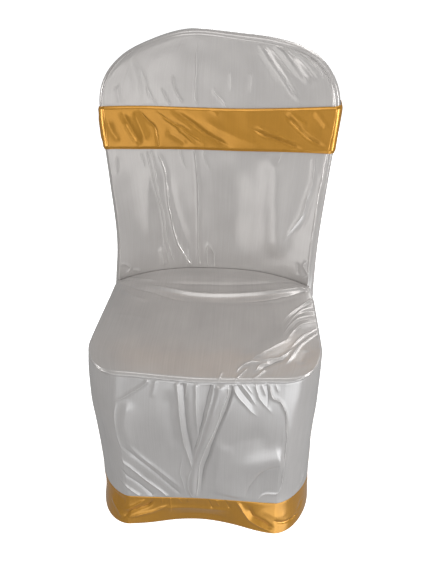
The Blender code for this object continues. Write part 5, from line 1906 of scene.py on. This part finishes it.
        xz = coons(foot, edge(top, s), left_edge, right_edge, s, t)
        x, z = xz[..., 0], xz[..., 1]
        flat = np.stack([x, form.back_surface(x, z), z], -1)
        stations = np.concatenate([left, top[1:-1], right[::-1]])
        strip = np.array([self.turned_way(row) for row in stations])[:, :-1]
        ids = np.arange(flat.shape[0] * flat.shape[1]).reshape(flat.shape[:2])
        rim = np.concatenate([ids[:, 0], ids[-1, 1:-1], ids[::-1, -1]])
        strip_ids = ids.size + np.arange(strip.shape[0] * strip.shape[1]).reshape(strip.shape[:2])
        faces = np.concatenate([grid_faces(ids), grid_faces(np.column_stack([strip_ids, rim]))])[:, ::-1]
        across, up = np.meshgrid(s * self.cut.width, t * self.cut.length)
        places = np.stack([across, up], -1)
        around = np.concatenate([places[:, 0], places[-1, 1:-1], places[::-1, -1]])
        outward = np.stack([stations[:, 2], stations[:, 3]], -1)
        beyond = self.strip_width * np.linspace(1, 0, self.turns)[:-1]
        outside = around[:, None] + outward[:, None] * beyond[:, None]
        points = np.concatenate([flat.reshape(-1, 3), strip.reshape(-1, 3)])
        return Cloth(points, faces, np.concatenate([places.reshape(-1, 2), outside.reshape(-1, 2)]))

    def thicken(self, piece: bpy.types.Object) -> None:
        """Gives the sheet its thickness, on its inside.

        Args:
            piece: the folded sheet.
        """
        thickness = piece.modifiers.new("Cloth", "SOLIDIFY")
        thickness.thickness = self.form.cloth
        thickness.offset = -1.0
        with bpy.context.temp_override(object=piece, active_object=piece, selected_objects=[piece]):
            bpy.ops.object.modifier_apply(modifier=thickness.name)
        piece.data.set_sharp_from_angle(angle=SHARP_ANGLE)

    def relief(self, cloth: Cloth) -> Grid:
        """Folds that end under the band and at the strip, and the seams.

        Args:
            cloth: the smooth sheet.

        Returns:
            How far out each point moves.
        """
        on_flat = self.columns * (self.low_rows + self.high_rows)
        strip = cloth.points[on_flat:].reshape(-1, self.turns - 1, 3)
        from_seam = np.linalg.norm(np.diff(strip, axis=1), axis=2).cumsum(axis=1)
        from_seam = np.column_stack([np.zeros(len(strip)), from_seam]).ravel()
        (x, _, z), flat = cloth.points[:on_flat].T, cloth.flat[:on_flat]
        bottom, top = self.form.band_edges(self.form.back_aside(x, z))
        free = ease(np.maximum(bottom - z, z - top) / self.band_clear)
        size = np.array([self.cut.width, self.cut.length])
        inside = np.minimum(flat, size - flat).min(axis=1)
        raised = (self.waves(flat) + self.folded(flat)) * ease(inside / (3 * self.fade)) * free
        raised = raised + self.seams(flat[:, 1])
        return np.concatenate([raised, self.seams(from_seam) + self.welts(from_seam)])


class Lamp(NamedTuple):
    """A rectangular lamp: degrees to the right of the front and above level, distance, size and power."""

    name: str
    aside: float
    above: float
    away: float
    size: tuple[float, float]
    power: float
    colour: tuple[float, float, float] = (1.0, 1.0, 1.0)


@dataclass(frozen=True)
class Studio:
    """A near-white floor and soft studio light, with the camera in front of the cover and a little above it.

    The satin doesn't mirror the floor, so the last two lamps, which stand lower, take the place of the light
    that it throws back.
    """

    camera_at: tuple[float, float, float] = (0.073, -1.046, 1.064)
    camera_turn: tuple[float, float, float] = (59.0, 0.0, 3.6)
    lens: float = 38.75
    sensor: float = 36.0
    floor_size: float = 60.0
    floor_drop: float = 0.0005
    floor_colour: tuple[float, float, float] = (0.90, 0.90, 0.90)
    floor_roughness: float = 0.9
    floor_glow: float = 0.90
    world: tuple[float, float, float] = (0.98, 0.99, 1.0)
    world_strength: float = 0.30
    lamps: tuple[Lamp, ...] = (
        Lamp("left", -70.0, 12.0, 2.4, (0.6, 1.2), 20.0),
        Lamp("right", 70.0, 12.0, 2.4, (0.6, 1.2), 27.0),
        Lamp("top", 0.0, 88.0, 2.0, (1.2, 1.2), 10.0),
        Lamp("back_right", 143.0, 46.0, 2.4, (0.9, 0.9), 11.0),
        Lamp("behind", 172.0, -4.0, 2.6, (1.3, 2.4), 24.0),
        Lamp("upper_right", 45.0, 45.0, 2.4, (0.6, 0.6), 4.0),
        Lamp("front_high", 0.0, 38.0, 2.4, (0.8, 0.4), 1.0),
        Lamp("front_right", 15.0, 8.0, 2.5, (0.8, 1.8), 2.5),
        Lamp("front_left", -15.0, 4.0, 2.5, (0.8, 1.8), 7.0),
        Lamp("floor_front", 0.0, -38.0, 1.8, (0.9, 0.6), 3.0, (0.90, 0.95, 1.0)),
        Lamp("floor_right", 38.0, -31.0, 1.8, (1.2, 1.1), 10.5, (0.90, 0.95, 1.0)),
    )
    aim: tuple[float, float, float] = (0.0, 0.0, 0.50)

    def camera(self) -> bpy.types.Object:
        """Places the camera.

        Returns:
            The camera.
        """
        data = bpy.data.cameras.new("camera")
        data.lens, data.sensor_width, data.sensor_fit = self.lens, self.sensor, "AUTO"
        camera = bpy.data.objects.new("camera", data)
        camera.location = self.camera_at
        camera.rotation_euler = [math.radians(angle) for angle in self.camera_turn]
        bpy.context.scene.collection.objects.link(camera)
        bpy.context.scene.camera = camera
        log.info("camera: %.2f mm lens", self.lens)
        return camera

    def floor(self) -> bpy.types.Object:
        """Lays the floor under the cover.

        Returns:
            The floor.
        """
        half = 0.5 * self.floor_size
        corners = [(-half, -half, 0), (half, -half, 0), (half, half, 0), (-half, half, 0)]
        mesh = bpy.data.meshes.new("floor")
        mesh.from_pydata(corners, [], [(0, 1, 2, 3)])
        material = bpy.data.materials.new("floor")
        material.use_nodes = True
        shader = material.node_tree.nodes["Principled BSDF"]
        shader.inputs["Base Color"].default_value = (*self.floor_colour, 1.0)
        shader.inputs["Roughness"].default_value = self.floor_roughness
        shader.inputs["Emission Color"].default_value = (1.0, 1.0, 1.0, 1.0)
        shader.inputs["Emission Strength"].default_value = self.floor_glow
        mesh.materials.append(material)
        floor = bpy.data.objects.new("floor", mesh)
        floor.location.z = -self.floor_drop
        floor.visible_diffuse = floor.visible_glossy = floor.visible_shadow = False
        bpy.context.scene.collection.objects.link(floor)
        log.info("floor: %.1f m wide", self.floor_size)
        return floor

    def light(self) -> None:
        """Lights the cover softly from all round, with lamps that its satin mirrors."""
        world = bpy.data.worlds.new("studio")
        world.use_nodes = True
        sky = world.node_tree.nodes["Background"]
        sky.inputs["Color"].default_value = (*self.world, 1.0)
        sky.inputs["Strength"].default_value = self.world_strength
        bpy.context.scene.world = world
        for lamp in self.lamps:
            light = bpy.data.lights.new(lamp.name, "AREA")
            light.shape, light.size, light.size_y, light.energy = "RECTANGLE", *lamp.size, lamp.power
            light.color = lamp.colour
            placed = bpy.data.objects.new(lamp.name, light)
            aside, above = math.radians(lamp.aside), math.radians(lamp.above)
            level = math.cos(above)
            toward = Vector((math.sin(aside) * level, -math.cos(aside) * level, math.sin(above)))
            placed.location = Vector(self.aim) + lamp.away * toward
            placed.rotation_euler = (-toward).to_track_quat("-Z", "Y").to_euler()
            bpy.context.scene.collection.objects.link(placed)
        bpy.context.scene.view_settings.view_transform = "Standard"
        log.info("light: %d lamps", len(self.lamps))


def cover_form() -> CoverForm:
    """The form, with its main heights taken from the solids."""
    hem_seam = round(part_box("skirt")[0].z, 4)
    return CoverForm(hem_seam=hem_seam)


def main() -> None:
    """Builds the studio and the cover."""
    logging.basicConfig(level=logging.INFO, format="%(name)s: %(message)s")
    studio = Studio()
    studio.camera()
    form = cover_form()
    white = Satin("white_satin", (0.485, 0.461, 0.444))
    gold = Satin("gold_satin", (0.50, 0.235, 0.026), metallic=0.5)
    for panel in (
        RestFront(form, white, wave_seed=2),
        BackPanel(form, white),
        Seat(form, white, wave_seed=3),
        Skirt(form, white, wave_seed=4),
        HemBorder(form, gold, wave_seed=6),
        Sash(form, gold, wave_seed=7),
    ):
        panel.build()
    studio.floor()
    studio.light()


if __name__ == "__main__":
    main()
